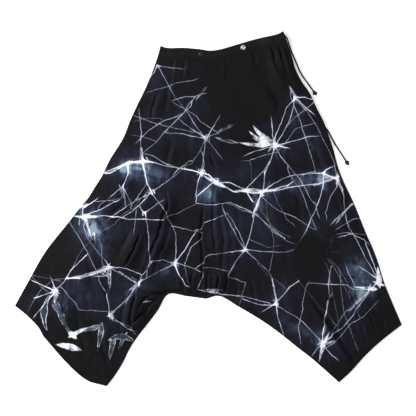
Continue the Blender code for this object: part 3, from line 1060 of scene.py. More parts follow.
    def read(self, points: Array) -> dict[str, Array]:
        """Work out the dye at each point.

        Returns:
            For each kind of strand the step to the nearest one with its length, and its look
            (half width, power, how much of the pattern shows); the pools, the blades' edge and
            their fill; and the blue beside strands with the blades' rim.
        """
        shows = self.shown(points)
        told: dict[str, Array] = {}
        bleed = np.zeros(len(points))
        for kind, strands in (("bold", self.bold), ("fine", self.fine)):
            gap = np.full(len(points), STRAND_REACH)
            step = np.tile((STRAND_REACH, 0.0), (len(points), 1))
            look = np.tile((1.0, 0.0), (len(points), 1))
            for strand in strands:
                close = close_to(strand.path, points, STRAND_REACH)
                if not close.size:
                    continue
                foot, at, _ = foot_on(strand.path, points[close])
                far = norm(foot)
                corner = np.arange(len(strand.path))
                power = np.interp(at, corner, strand.power)
                width = np.interp(at, corner, strand.half_width)
                below = smooth(0.5 + 0.5 * foot[:, 1] / (far + 6.0))
                fall = 4.5 + 33.0 * below
                glow = strand.tint * power**1.4 * np.exp(-far / fall)
                glow = glow * smooth((STRAND_REACH - far) / 20.0)
                bleed[close] = np.maximum(bleed[close], glow)
                nearer = far - width < gap[close] - look[close, 0]
                taken = close[nearer]
                gap[taken], step[taken] = far[nearer], foot[nearer]
                look[taken] = np.stack([width, power], axis=1)[nearer]
            told[f"{kind}_gap"] = np.column_stack([step, gap])
            told[f"{kind}_look"] = np.column_stack([look[:, 0], look[:, 1] * shows, shows])
        pool = np.zeros(len(points))
        for spot in self.pools:
            turn = math.radians(spot.turn)
            off = points - (spot.x, spot.y)
            u = (off[:, 0] * math.cos(turn) + off[:, 1] * math.sin(turn)) / spot.long
            v = (off[:, 1] * math.cos(turn) - off[:, 0] * math.sin(turn)) / spot.short
            pool += spot.power * np.exp(-((u**2 + v**2) ** 0.8))
        edge = np.full(len(points), BLADE_REACH)
        fill, rim = np.zeros(len(points)), np.zeros(len(points))
        for blade in (*self.webbing, *self.blades):
            close = close_to(blade.spine(), points, blade.wide * 1.3 + BLADE_REACH)
            if not close.size:
                continue
            far = blade.gap(points[close])
            nearer = far < edge[close]
            taken = close[nearer]
            edge[taken], fill[taken], rim[taken] = far[nearer], blade.fill, blade.rim
        told["wash"] = np.column_stack([np.clip(pool, 0, 1) * shows, edge, fill])
        told["bleed"] = np.column_stack([bleed * shows, rim * shows, shows])
        return told


STARS = table(
    Star,
    (-200, 145, 7, 1.0, ((96, 40),), 2), (-245, 138, 6, 1.0, ((204, 110), (-150, 60))),
    (-376, -28, 6, 1.0, ((175, 50), (-3, 210), (24, 110)), 3),
    (-380, 6, 5, 0.9, ((35, 60), (150, 30))), (-262, 66, 2, 0.7, ((218, 90), (-64, 60), (-80, 40))),
    (-174, 48, 4, 0.85, ((222, 120), (40, 150)), 3),
    (-196, -14, 4, 0.85, ((-88, 190), (34, 80), (120, 24)), 2),
    (-20, 110, 4, 0.85, ((88, 60), (-104, 70)), 9), (26, 82, 3, 1.0, ((-150, 40),), 6),
    (112, 56, 3, 1.0, ((-60, 40),), 6), (164, 52, 4, 1.0, ((14, 60), (-112, 80)), 5),
    (-8, 216, 4, 0.7, ((60, 100), (-50, 90), (172, 120), (24, 90), (148, 60)), 9),
    (202, 190, 4, 0.9, ((96, 100), (12, 150), (-56, 200), (200, 110), (-10, 50)), 11),
    (262, 338, 5, 0.9, ((118, 40), (-8, 70), (-40, 90))),
    (392, 92, 6, 0.95, ((-64, 40), (-160, 80)), 1), (350, 108, 4, 0.9, ((-112, 260), (30, 50))),
    (112, -126, 4, 0.75, ((0, 150), (194, 130), (236, 90), (118, 150))),
    (206, -290, 5, 0.85, ((44, 100), (100, 80), (170, 110), (212, 60), (-76, 110)), 1),
    (346, -412, 5, 0.95, ((-38, 130), (82, 130), (232, 60), (-96, 40)), 3),
    (520, -218, 5, 1.0, ((110, 110), (146, 90)), 1), (498, -246, 4, 1.0, ((174, 170),), 1),
    (-100, -167, 5, 0.8, ((58, 80), (176, 70), (-22, 90), (-66, 70))),
    (-302, -178, 5, 0.85, ((-12, 90), (196, 80)), 3), (-432, -212, 2, 0.9, ((50, 90), (8, 60))),
    (-466, -250, 4, 0.9, ((156, 90), (112, 80), (200, 70), (230, 110)), 8),
    (-300, -326, 4, 0.8, ((-30, 100), (100, 60)), 9),
    (-220, -230, 4, 0.7, ((142, 60), (240, 80), (52, 70)), 4),
    (-156, 436, 3, 0.8, ((-8, 90), (-57, 250), (236, 70))),
    (14, -252, 3, 0.7, ((172, 30), (10, 30)), 8), (372, -116, 12, 0.14, (), 8),
)
TIES = table(
    Tie,
    (1, 0, 1.0), (0, 7, 0.85, 8), (0, 5, 0.95, -4), (1, 4, 0.8, 6), (5, 21, 0.65, 26), (7, 8, 1.0),
    (8, 9, 0.95, -10), (8, 9, 0.75, 9), (9, 10, 1.0), (10, 14, 0.85, -10), (10, 15, 0.75, 14),
    (10, 12, 0.8, 4), (9, 12, 0.65, -12), (12, 13, 0.75, 10), (12, 13, 0.65, -6), (7, 11, 0.55),
    (11, 5, 0.4, 14), (14, 19, 0.7, -10), (14, 15, 1.0), (16, 10, 0.7, -6), (16, 17, 0.5, 14),
    (17, 18, 0.65, 8), (18, 20, 0.75, -12), (18, 20, 0.5, 14), (19, 20, 1.0), (2, 22, 0.6, -14),
    (3, 2, 0.6), (22, 23, 0.75, 8), (23, 24, 0.5), (25, 26, 0.55), (26, 21, 0.55), (22, 26, 0.55),
)
POOLS = table(
    Pool,
    (-196, 116, 66, 26, -14, 0.82), (-250, 122, 40, 24, 20, 0.6), (-352, -46, 56, 40, 150, 0.66),
    (-344, -86, 44, 30, 110, 0.5), (-178, 84, 40, 26, -60, 0.36), (0, 52, 44, 28, 90, 0.66),
    (156, 22, 34, 26, 80, 0.58), (96, 112, 60, 34, 10, 0.3), (292, 84, 60, 22, 12, 0.6),
    (348, 84, 40, 24, 20, 0.66), (456, -188, 54, 34, 110, 0.8), (466, -254, 34, 24, 30, 0.66),
    (440, -300, 50, 24, 50, 0.4), (218, -254, 36, 22, 60, 0.48), (270, -364, 60, 26, -30, 0.42),
    (340, -396, 30, 22, 0, 0.55), (268, 280, 46, 30, 60, 0.36), (322, 200, 60, 24, 110, 0.3),
    (-134, -186, 40, 24, 40, 0.4), (-172, -118, 44, 22, 60, 0.26), (-250, -262, 50, 24, 20, 0.3),
    (-382, -268, 46, 34, 10, 0.42), (-442, -300, 24, 20, 0, 0.4), (-180, 392, 50, 34, 40, 0.16),
    (-90, 262, 80, 44, 30, 0.16), (80, -50, 50, 60, 80, 0.2), (180, -60, 60, 44, 0, 0.18),
    (-330, -130, 60, 40, 40, 0.22),
)
BLADES = table(
    Blade,
    (136, 253, -54, 70, 16, 8, 1.0, 0.8, 0.7), (124, 236, -44, 56, 10, 6, 0.95, 0.8, 0.7),
    (92, 202, -14, 104, 24, 7.5, 0.95, 0.8, 0.72), (134, 216, -14, 82, 0, 15, 0.8, 0.5, 0.5),
    (150, 236, -48, 62, 0, 10, 0.86, 0.5, 0.4), (234, 196, 186, 50, 12, 3.5, 0.5, 0.8, 0.5),
    (206, 216, 250, 50, -20, 3.5, 0.4, 0.8, 0.5), (80, 258, 207, 58, -6, 4.5, 0.26, 0.5, 0.45),
    (92, 200, 172, 76, -12, 4.5, 0.3, 0.5, 0.4), (4, 380, 226, 66, 8, 3, 0.3, 0.5, 0.5),
    (-270, 130, 17, 100, -24, 6, 0.9, 0.2, 0.6), (-204, 164, -82, 84, 6, 4, 1.0, 0.2, 0.25),
    (-416, -22, -8, 96, 14, 4.5, 1.0, 0.2, 0.4), (-380, -14, -72, 84, 0, 5, 1.0, 0.2, 0.2),
    (-354, -86, 68, 20, 0, 2, 1.0, 0.2, 0.5), (-348, -66, -84, 40, 0, 2.5, 0.9, 0.2, 0.3),
    (-396, 0, 30, 36, 0, 5, 0.8, 0.2, 0.4), (-40, 128, -42, 64, 10, 7, 0.36, 0.9, 0.5),
    (-20, 104, -32, 90, 8, 7, 0.95, 0.5, 0.55), (72, 54, 2, 128, -6, 7, 1.0, 0.4, 0.5),
    (128, 62, -60, 44, 0, 5, 0.5, 0.6, 0.3), (206, 60, 190, 66, 10, 4, 0.8, 0.5, 0.6),
    (246, 372, -62, 40, 0, 3.5, 0.45, 0.7, 0.6), (258, 344, -52, 62, 6, 4.5, 0.6, 0.6, 0.3),
    (330, 92, 6, 70, 4, 4, 0.6, 0.3, 0.7), (394, 112, -94, 50, 0, 4, 0.9, 0.3, 0.4),
    (516, -176, -84, 68, 0, 9, 1.0, 0.4, 0.66), (540, -236, 160, 44, 0, 6, 1.0, 0.4, 0.5),
    (440, -238, -6, 76, 0, 7, 1.0, 0.4, 0.84), (500, -242, 226, 60, 0, 4, 0.6, 0.6, 0.2),
    (364, -376, -112, 96, 12, 6, 0.95, 0.5, 0.45), (390, -400, 200, 50, 0, 3.5, 0.5, 0.5, 0.7),
    (196, -276, -52, 28, 0, 3.5, 0.8, 0.3, 0.5), (-372, -204, 20, 80, 0, 6, 0.5, 0.9, 0.75),
    (-302, -170, -88, 92, -4, 5, 0.5, 0.9, 0.25), (-336, -184, -34, 46, 0, 6, 0.42, 0.7, 0.5),
    (-196, -214, 216, 62, 0, 5, 0.4, 0.7, 0.4), (-236, -208, -40, 44, 0, 4, 0.4, 0.7, 0.5),
    (-482, -262, -122, 114, 58, 10, 0.3, 0.95, 0.5), (-462, -244, -100, 50, 0, 6.5, 1.0, 0.7, 0.4),
    (-476, -280, -70, 50, 20, 6, 0.5, 0.6, 0.3), (-464, -276, -76, 124, 20, 8.5, 0.42, 0.8, 0.35),
    (-430, -370, -44, 40, 0, 9, 1.0, 0.6, 0.5), (-428, -394, 34, 72, -14, 7, 0.95, 0.6, 0.3),
    (-390, -372, 8, 70, 16, 7, 0.5, 0.8, 0.6), (-466, -414, -6, 86, -16, 11, 1.0, 0.6, 0.5),
    (-324, -346, -96, 88, -8, 7.5, 0.42, 0.7, 0.3), (-338, -388, -60, 18, 0, 3, 0.6, 0.6, 0.5),
    (-304, -402, 34, 88, -84, 9, 0.36, 0.7, 0.5), (-284, -384, -104, 78, 4, 8, 0.42, 0.8, 0.35),
    (-246, -376, 236, 62, 16, 5, 0.4, 0.7, 0.4), (-200, -288, 2, 30, 0, 2.5, 0.8, 0.6, 0.5),
    (-14, -248, 6, 60, -14, 2.2, 0.5, 0.8, 0.5), (-272, 74, -70, 44, 0, 3, 0.3, 0.7, 0.5),
)
FRONT_RUNNERS = table(
    Runner,
    (-196, 350, 16, 180, 0.6), (-118, 326, 12, 140, 0.68), (-228, 190, 35, 214, 0.68),
    (-192, 176, 47, 222, 0.74), (-240, 226, -12, 44, 0.4), (-238, 288, -15, 220, 0.62),
    (-236, 262, 8, 90, 0.35), (-213, 314, -88, 150, 0.74), (-118, 330, -34, 170, 0.64),
    (-190, 166, -20, 150, 0.76), (96, 144, 14, 110, 0.65), (-240, 400, -20, 50, 0.3),
    (-186, 78, 236, 90, 0.65), (-348, 22, 6, 80, 0.6, ((50, 50),)),
    (-310, -38, 36, 80, 0.7, ((-8, 90),)), (-422, -44, -60, 130, 0.65, ((-6, 110),)),
    (-340, -76, -78, 130, 0.6), (-434, -214, 60, 110, 0.45, ((-18, 280),)),
    (-428, -214, 4, 110, 0.7), (-438, -250, -52, 74, 0.65, ((50, 100),)),
    (-292, -340, -22, 60, 0.6, ((-30, 36),)), (-540, -204, -42, 90, 0.5),
    (-540, -202, -12, 80, 0.5), (-554, -320, 58, 90, 0.5, ((-22, 50),)), (-516, -156, -62, 60, 0.4),
    (-288, -310, 50, 130, 0.55), (-220, -10, 262, 74, 0.6),
    (-34, 16, 2, 100, 0.75, ((-30, 110), (-12, 90))), (-128, -30, 26, 100, 0.5),
    (-14, -46, 22, 60, 0.75), (-108, -54, -12, 96, 0.7, ((-122, 60), (26, 40))),
    (58, -14, -62, 120, 0.7), (56, -208, -16, 62, 0.6, ((-92, 80),)), (-4, -180, -8, 48, 0.5),
    (-16, -172, -104, 76, 0.6), (-74, -176, -76, 80, 0.4), (40, -262, -10, 150, 0.7),
    (242, 118, -64, 210, 0.6), (324, 26, -74, 66, 0.8), (160, 38, -32, 190, 0.7),
    (54, 18, -20, 100, 0.55, ((-18, 150),)), (190, 92, -88, 220, 0.5, ((-12, 60),)),
    (262, 346, -58, 190, 0.72, ((-14, 90),)), (250, 340, -70, 150, 0.68, ((-4, 90), (-90, 40))),
    (332, 262, 196, 70, 0.6, ((36, 80),)), (320, 322, 222, 110, 0.6), (374, -176, -94, 84, 0.8),
    (414, -162, -66, 74, 0.75), (392, -170, -76, 280, 0.5), (312, -214, -98, 210, 0.65),
    (350, -384, 78, 130, 0.45), (264, -204, -50, 180, 0.3), (524, -274, 220, 120, 0.6, ((4, 110),)),
    (484, -254, 226, 80, 0.85), (130, 130, -84, 90, 0.35), (232, -240, 138, 110, 0.35),
)
FRONT_RESTS = table(
    Rest,
    (112, 396, 128, 146, 0.1), (60, 470, 330, 34, 0.3), (306, -134, 56, 58, 0.3),
    (552, -376, 62, 88, 0.14), (412, -516, 56, 62, 0.2), (-356, -490, 66, 60, 0.2),
    (-490, -160, 50, 56, 0.3),
)
FRONT_WEBS = table(
    Web,
    (346, -84, (70, 54, 38, 22, 6, -8), 42, 90, 140, 0.85),
    (334, -104, (-52, -63, -75), 50, 130, 220, 0.5),
    (306, -130, (118, 142, 168), 66, 110, 200, 0.45),
)


FRONT_SEED, BACK_SEED = 11, 31
BACK_RESTS = table(
    Rest,
    (40, 470, 360, 40, 0.3), (-300, -150, 56, 50, 0.25), (548, -372, 66, 88), (-370, -480, 70, 66),
)


def turned_over(x: float) -> float:
    """Return where a place of the front's pattern comes to lie on the back."""
    return 14 - 0.94 * x


@cache
def face_dye(back: bool) -> Crackle:
    """Return the dye of the front or the back, which was dyed in the same folds, turned over."""
    if not back:
        front = (STARS, TIES, FRONT_RUNNERS, POOLS, BLADES, FRONT_RESTS, FRONT_WEBS)
        return Crackle(FRONT_SEED, *front)
    stars, runners, pools, blades = [], [], [], []
    for s in STARS:
        rays = tuple((180 - turn, far) for turn, far in s.rays)
        stars.append(replace(s, x=turned_over(s.x), y=0.97 * s.y - 7, rays=rays))
    for r in FRONT_RUNNERS:
        bends = tuple((-turn, far) for turn, far in r.bends)
        runners.append(replace(r, x=20 - r.x, y=r.y - 12, heading=180 - r.heading, bends=bends))
    for p in POOLS:
        pools.append(replace(p, x=turned_over(p.x), turn=-p.turn, power=0.8 * p.power))
    for b in BLADES:
        bent = replace(b, heading=180 - b.heading, bend=-b.bend, fill=0.8 * b.fill)
        blades.append(replace(bent, x=turned_over(b.x), y=b.y - 6))
    return Crackle(BACK_SEED, stars, TIES, runners, pools, blades, BACK_RESTS)


# --- finishes


class Value:
    """A number that varies over a surface; expressions on it add Math nodes."""

    def __init__(self, graph: "Graph", socket: Socket) -> None:
        """Wrap one output socket."""
        self.graph = graph
        self.socket = socket

    def math(self, operation: str, *others: "Value | float") -> "Value":
        """Return the result of a Math node on this value and others."""
        return self.graph.math(operation, self, *others)

    __add__ = __radd__ = partialmethod(math, "ADD")
    __sub__ = partialmethod(math, "SUBTRACT")
    __mul__ = __rmul__ = partialmethod(math, "MULTIPLY")
    __truediv__ = partialmethod(math, "DIVIDE")
    __pow__ = partialmethod(math, "POWER")
    most = partialmethod(math, "MAXIMUM")
    least = partialmethod(math, "MINIMUM")
    sine = partialmethod(math, "SINE")
    absolute = partialmethod(math, "ABSOLUTE")

    def __rsub__(self, other: float) -> "Value":
        """Take this from a number."""
        return self.graph.math("SUBTRACT", other, self)

    def clamp(self) -> "Value":
        """Hold it between 0 and 1."""
        return self.most(0.0).least(1.0)

    def fade(self, start: "Value | float", end: "Value | float") -> "Value":
        """Return a soft step from 0 at start to 1 at end, either of which may be the higher."""
        share = ((self - start) / (end - start)).clamp()
        return share * share * (3.0 - 2.0 * share)


def add_node(tree: bpy.types.NodeTree, kind: str, settings: dict, sockets: dict) -> Node:
    """Add a node to a tree.

    Args:
        tree: The tree.
        kind: The node's type.
        settings: Its own settings, set before its sockets.
        sockets: A value, Value or socket for each input, by name or number.

    Returns:
        The node.
    """
    node = tree.nodes.new(kind)
    for key, value in settings.items():
        setattr(node, key, value)
    for key, value in sockets.items():
        if isinstance(value, Value):
            value = value.socket
        if isinstance(value, Socket):
            tree.links.new(value, node.inputs[key])
        else:
            node.inputs[key].default_value = value
    return node


class Graph:
    """A material's nodes, and the few kinds of them that its finish needs."""

    def __init__(self, name: str) -> None:
        """Make an empty material with its output."""
        self.material = bpy.data.materials.new(name)
        self.material.use_nodes = True
        self.tree = self.material.node_tree
        self.tree.nodes.clear()
        self.coordinates = self.node("ShaderNodeTexCoord", {}, {})

    def node(self, kind: str, settings: dict, sockets: dict) -> Node:
        """Add a node to the material, as add_node does."""
        return add_node(self.tree, kind, settings, sockets)

    def math(self, operation: str, *values: Value | float) -> Value:
        """Add a Math node and return its result."""
        node = self.node("ShaderNodeMath", {"operation": operation}, dict(enumerate(values)))
        return Value(self, node.outputs[0])

    @property
    def place(self) -> Socket:
        """The object's own coordinates, in metres."""
        return self.coordinates.outputs["Object"]

    def parts(self, vector: Socket) -> tuple[Value, Value, Value]:
        """Return the three numbers of a vector."""
        parts = self.node("ShaderNodeSeparateXYZ", {}, {0: vector})
        return tuple(Value(self, out) for out in parts.outputs[:3])

    def attribute(self, name: str) -> tuple[Value, Value, Value]:
        """Return the three numbers of a mesh attribute."""
        read = self.node("ShaderNodeAttribute", {"attribute_name": name}, {})
        return self.parts(read.outputs["Vector"])

    def noise(
        self, size: float, detail: float = 2.0, stretch: tuple = (1.0, 1.0, 1.0), warp: float = 0.0
    ) -> Value:
        """Return noise whose patches are about this many metres across, spread over 0 to 1."""
        where = self.node("ShaderNodeMapping", {}, {"Vector": self.place, "Scale": stretch})
        sockets = {"Vector": where.outputs[0], "Scale": 1.0 / size}
        sockets.update({"Detail": detail, "Distortion": warp})
        texture = self.node("ShaderNodeTexNoise", {}, sockets)
        return ((Value(self, texture.outputs[0]) - 0.5) * 2.1 + 0.5).clamp()

    def mix(self, share: Value | float, first: object, second: object) -> Socket:
        """Return a blend of two colours."""
        node = self.node("ShaderNodeMix", {"data_type": "RGBA"}, {0: share, 6: first, 7: second})
        return node.outputs[2]

    def finish(self, constants: dict, colour: Socket, **varying: Value | Socket) -> Material:
        """Add the surface and return the material: constants go on its own sockets."""
        sockets = {**constants, "Base Color": colour, **varying}
        surface = self.node("ShaderNodeBsdfPrincipled", {}, sockets)
        self.node("ShaderNodeOutputMaterial", {}, {0: surface.outputs[0]})
        return self.material

    def bump(self, height: Value, strength: float, distance: float) -> Socket:
        """Return the normal of a surface with this relief."""
        sockets = {"Height": height, "Strength": strength, "Distance": distance}
        return self.node("ShaderNodeBump", {}, sockets).outputs[0]

    def weave(self, pitch: float) -> Value:
        """Return the relief of a plain weave with threads this far apart."""
        x, y, _ = self.parts(self.place)
        turn = math.pi / pitch
        warp, weft = (x * turn).sine(), (y * turn).sine()
        return (warp * weft) * 0.5 + 0.5


@dataclass(frozen=True)
class Tones:
    """The colours that the dye goes through, from unbleached to white."""

    black: tuple = (0.0017, 0.0016, 0.0022, 1.0)
    navy: tuple = (0.0094, 0.0100, 0.0230, 1.0)
    slate: tuple = (0.0420, 0.0640, 0.0980, 1.0)
    pale: tuple = (0.1700, 0.2300, 0.3000, 1.0)
    aura: tuple = (0.0480, 0.0580, 0.1150, 1.0)
    white: tuple = (0.7450, 0.7550, 0.8150, 1.0)
    faint: tuple = (0.7050, 0.7320, 0.8600, 1.0)


COTTON = {"Specular IOR Level": 0.11, "Sheen Weight": 0.035, "Sheen Roughness": 0.4}
THREAD_PITCH = 0.0009


@dataclass(frozen=True)
class CrackledCotton:
    """Plain-weave cotton with the crackle in it.

    Attributes:
        name: The material's name.
        grid: How far apart the shell's points are, which bounds how fine a strand is read.
    """

    name: str
    grid: float
    tones: Tones = Tones()

    def strand(self, graph: Graph, kind: str, rough: Value) -> tuple[Value, Value]:
        """Return how white one kind of strand makes the cloth, and its soft aura."""
        step_x, step_y, far = graph.attribute(f"{kind}_gap")
        half_width, power, _ = graph.attribute(f"{kind}_look")
        length = (step_x * step_x + step_y * step_y) ** 0.5
        gap = length.most(far - 0.75 * self.grid) + (rough - 0.5) * 0.9
        line = gap.fade(half_width + 0.55, half_width - 0.35) * power
        aura = gap.fade(half_width + 2.6, half_width) * (power ** 0.6)
        return line.clamp(), aura.clamp()

    def make(self) -> Material:
        """Build the material."""
        graph, tones = Graph(self.name), self.tones
        rough = graph.noise(0.006, 3.0)
        mottle = graph.noise(0.030, 4.0, warp=0.6)
        streak = graph.noise(0.026, 4.0, stretch=(1.5, 0.55, 1.0), warp=0.4)
        patch = graph.noise(0.11, 2.0, warp=0.4)
        bold, bold_aura = self.strand(graph, "bold", rough)
        fine, fine_aura = self.strand(graph, "fine", rough)
        wash, edge, fill = graph.attribute("wash")
        bleed, rim, shows = graph.attribute("bleed")
        wisps = (mottle * 0.85 + streak * 0.55 - 0.08).most(0.08)
        tint = (wash * wisps * 1.15 + bleed * (0.10 + 0.75 * streak)).clamp()
        dusk = (patch - 0.45).most(0.0) * (0.3 + 0.9 * streak) * shows * 0.56
        cloth = graph.mix((tint * 2.8 + dusk).clamp(), tones.black, tones.navy)
        cloth = graph.mix(tint.fade(0.19, 0.76), cloth, tones.slate)
        cloth = graph.mix(tint.fade(0.60, 1.02), cloth, tones.pale)
        ragged = edge + (rough - 0.5) * 1.1 + (mottle - 0.5) * 1.6
        inside = ragged.fade(1.0, -1.2) * fill * shows
        shade = inside * (0.40 + 0.75 * mottle) * (0.62 + 0.6 * rough)
        cloth = graph.mix((shade * 1.9).clamp(), cloth, tones.slate)
        cloth = graph.mix(shade.fade(0.28, 0.92), cloth, tones.white)
        rimmed = ragged.absolute().fade(1.5, 0.2) * rim * (mottle * 1.7 - 0.45).clamp()
        cloth = graph.mix(bold_aura.most(fine_aura * 0.8) * 0.30, cloth, tones.aura)
        line = bold.most(fine).most(rimmed) * (0.80 + 0.34 * rough)
        strand = graph.mix(line.fade(0.35, 1.0), tones.faint, tones.white)
        colour = graph.mix(line.clamp(), cloth, strand)
        relief = graph.weave(THREAD_PITCH) * 0.6 + rough * 0.7 + mottle * 1.2
        normal = graph.bump(relief, 0.35, 0.0005)
        return graph.finish(COTTON, colour, Roughness=0.66 + 0.12 * rough, Normal=normal)


@dataclass(frozen=True)
class PlainCotton:
    """Plain black cotton of the waistband, paler along its rolled top edge, its seam and the crown
    of its puff, and in blotches.
    """

    name: str = "band_cotton"
    base: tuple = (0.0028, 0.0028, 0.0031, 1.0)
    paler: tuple = (0.0100, 0.0096, 0.0100, 1.0)

    def make(self) -> Material:
        """Build the material."""
        graph = Graph(self.name)
        rough = graph.noise(0.005, 3.0)
        blotch = graph.noise(0.03, 3.0, stretch=(0.6, 1.6, 1.0))
        paler_share, _, _ = graph.attribute("paler_share")
        # paler along the rolled top edge, the seam and the puff's crown, with blotches
        share = (paler_share * 0.7 + (blotch - 0.45) * 0.5).clamp()
        colour = graph.mix(share, self.base, self.paler)
        relief = graph.weave(THREAD_PITCH) * 0.6 + rough * 0.8
        normal = graph.bump(relief, 0.4, 0.0005)
        return graph.finish(COTTON, colour, Roughness=0.66 + 0.12 * rough, Normal=normal)


@dataclass(frozen=True)
class BraidedCotton:
    """The drawcord's black cotton braid with a brown cast, with painted shade in the valleys
    between its plaits and a painted highlight on their crowns.
    """

    name: str = "cord_cotton"
    # valley is the painted shade's colour between the plaits, crown the painted highlight's colour
    # on their crowns
    painted_valley_shade: tuple = (0.002, 0.0018, 0.0018, 1.0)
    crown: tuple = (0.012, 0.0095, 0.0085, 1.0)

    def make(self) -> Material:
        """Build the material."""
        graph = Graph(self.name)
        rough = graph.noise(0.0012, 3.0)
        height, _, _ = graph.attribute("plait")
        # painted shade and highlight: darker in the braid's valleys, lighter on its crowns,
        # following the plaits' relief
        colour = graph.mix((height * (0.7 + 0.5 * rough)).clamp(), self.painted_valley_shade, self.crown)
        normal = graph.bump(rough, 0.4, 0.0002)
        sheen = {"Specular IOR Level": 0.22, "Sheen Weight": 0.1, "Sheen Roughness": 0.5}
        return graph.finish(sheen, colour, Roughness=0.7 + 0.15 * rough, Normal=normal)


@dataclass(frozen=True)
class Thread:
    """Black sewing thread, a little shinier than the cloth."""

    name: str = "sewing_thread"
    low: tuple = (0.002, 0.002, 0.0024, 1.0)
    high: tuple = (0.007, 0.007, 0.008, 1.0)

    def make(self) -> Material:
        """Build the material."""
        graph = Graph(self.name)
        twist = graph.noise(0.0006, 2.0)
        colour = graph.mix(twist, self.low, self.high)
        normal = graph.bump(twist, 0.4, 0.0001)
        gloss = {"Specular IOR Level": 0.4}
        return graph.finish(gloss, colour, Roughness=0.5 + 0.15 * twist, Normal=normal)


@dataclass(frozen=True)
class Plate:
    """Plated metal of a snap, rougher in its well, where painted shade darkens its colour, as it
    does a little round its foot.
    """

    name: str
    bright: tuple
    painted_well_shade: tuple
    smoothest: float

    def make(self) -> Material:
        """Build the material."""
        graph = Graph(self.name)
        cloud = graph.noise(0.0022, 3.0)
        scratch = graph.noise(0.0007, 2.0, stretch=(1.0, 0.2, 1.0))
        depth, _, _ = graph.attribute("depth")
        # painted shade: the colour darkens towards dull with the depth mask, most in the well
        share = (depth + cloud * 0.35).clamp()
        colour = graph.mix(share, self.bright, self.painted_well_shade)
        rough = self.smoothest + 0.14 * scratch + 0.22 * depth
        normal = graph.bump(scratch, 0.12, 0.0001)
        return graph.finish({"Metallic": 1.0}, colour, Roughness=rough, Normal=normal)


@dataclass(frozen=True)
class Paper:
    """The white sweep that the garment lies on, lit a little from below as a light table is."""

    name: str = "white_sweep"
    lit: float = 0.26
    colour: tuple = (0.93, 0.93, 0.94, 1.0)
    shade: tuple = (0.90, 0.90, 0.915, 1.0)

    def make(self) -> Material:
        """Build the material."""
        graph = Graph(self.name)
        cloud = graph.noise(0.5, 2.0)
        matt = {"Specular IOR Level": 0.1, "Roughness": 0.9}
        light = {"Emission Color": (1.0, 1.0, 1.0, 1.0), "Emission Strength": self.lit}
        return graph.finish({**matt, **light}, graph.mix(cloud, self.colour, self.shade))


# --- meshes


def add_object(name: str, data: bpy.types.ID) -> Piece:
    """Add an object to the scene."""
    item = bpy.data.objects.new(name, data)
    bpy.context.scene.collection.objects.link(item)
    return item


def link(name: str, mesh: Mesh, material: Material, solid: str = "") -> Piece:
    """Add a piece to the scene, riding on the garment's one body.

    Args:
        name: The piece's name.
        mesh: Its mesh, in place.
        material: Its finish.
        solid: The node that it stands for, if it stands for one.

    Returns:
        The object.
    """
    mesh.materials.clear()
    mesh.materials.append(material)
    piece = add_object(name, mesh)
    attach(piece, "root")
    if solid:
        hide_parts(solid)
    logger.info("%s: %d faces", name, len(mesh.polygons))
    return piece


def set_attributes(mesh: Mesh, told: dict[str, Array]) -> None:
    """Store vectors on a mesh's points under their names."""
    for name, values in told.items():
        layer = mesh.attributes.new(name, "FLOAT_VECTOR", "POINT")
        layer.data.foreach_set("vector", np.ascontiguousarray(values, np.float32).ravel())


def one_each(values: Array) -> Array:
    """Return vectors that hold these numbers first."""
    values = np.asarray(values, float).ravel()
    return np.column_stack([values, np.zeros_like(values), np.zeros_like(values)])


def sheet_mesh(name: str, grid: Array, up: bool, round_it: bool = False) -> Mesh:
    """Return the mesh of a grid of points.

    Args:
        name: The mesh's name.
        grid: Rows of points in millimetres.
        up: Whether its faces look up on the whole, and not down.
        round_it: Whether each row closes on itself.

    Returns:
        A smooth-shaded mesh in metres.
    """
    rows, columns = grid.shape[:2]
    index = np.arange(rows * columns).reshape(rows, columns)
    if round_it:
        index = np.concatenate([index, index[:, :1]], axis=1)
    corners = (index[:-1, :-1], index[1:, :-1], index[1:, 1:], index[:-1, 1:])
    quads = np.stack(corners, axis=-1).reshape(-1, 4)
    flat = grid.reshape(-1, 3) * MM
    a, b, c = (flat[quads[:, k]] for k in (0, 1, 2))
    facing = np.cross(b - a, c - a)[:, 2].sum()
    if (facing > 0) != up:
        quads = quads[:, ::-1]
    mesh = bpy.data.meshes.new(name)
    mesh.vertices.add(len(flat))
    mesh.vertices.foreach_set("co", flat.astype(np.float32).ravel())
    mesh.loops.add(quads.size)
    mesh.loops.foreach_set("vertex_index", quads.astype(np.int32).ravel())
    mesh.polygons.add(len(quads))
    mesh.polygons.foreach_set("loop_start", np.arange(0, quads.size, 4, dtype=np.int32))
    mesh.polygons.foreach_set("loop_total", np.full(len(quads), 4, dtype=np.int32))
    mesh.update(calc_edges=True)
    mesh.validate()
    mesh.shade_smooth()
    return mesh


def curl_at(gap: Array) -> Array:
    """Return how much of its height the cloth keeps this close to a rolled edge."""
    return np.sqrt(1 - (1 - np.clip(gap / CURL, 0.0, 1.0)) ** 2)


def fold_drop(to_edge: Array, under: Array, radius: float) -> Array:
    """Return how far below its face cloth lies at these distances from a fold's edge."""
    inner = np.clip(radius - to_edge, 0.0, radius)
    rise = np.sqrt(np.maximum(radius**2 - inner**2, 0.0))
    return np.where(under, radius + rise, radius - rise)


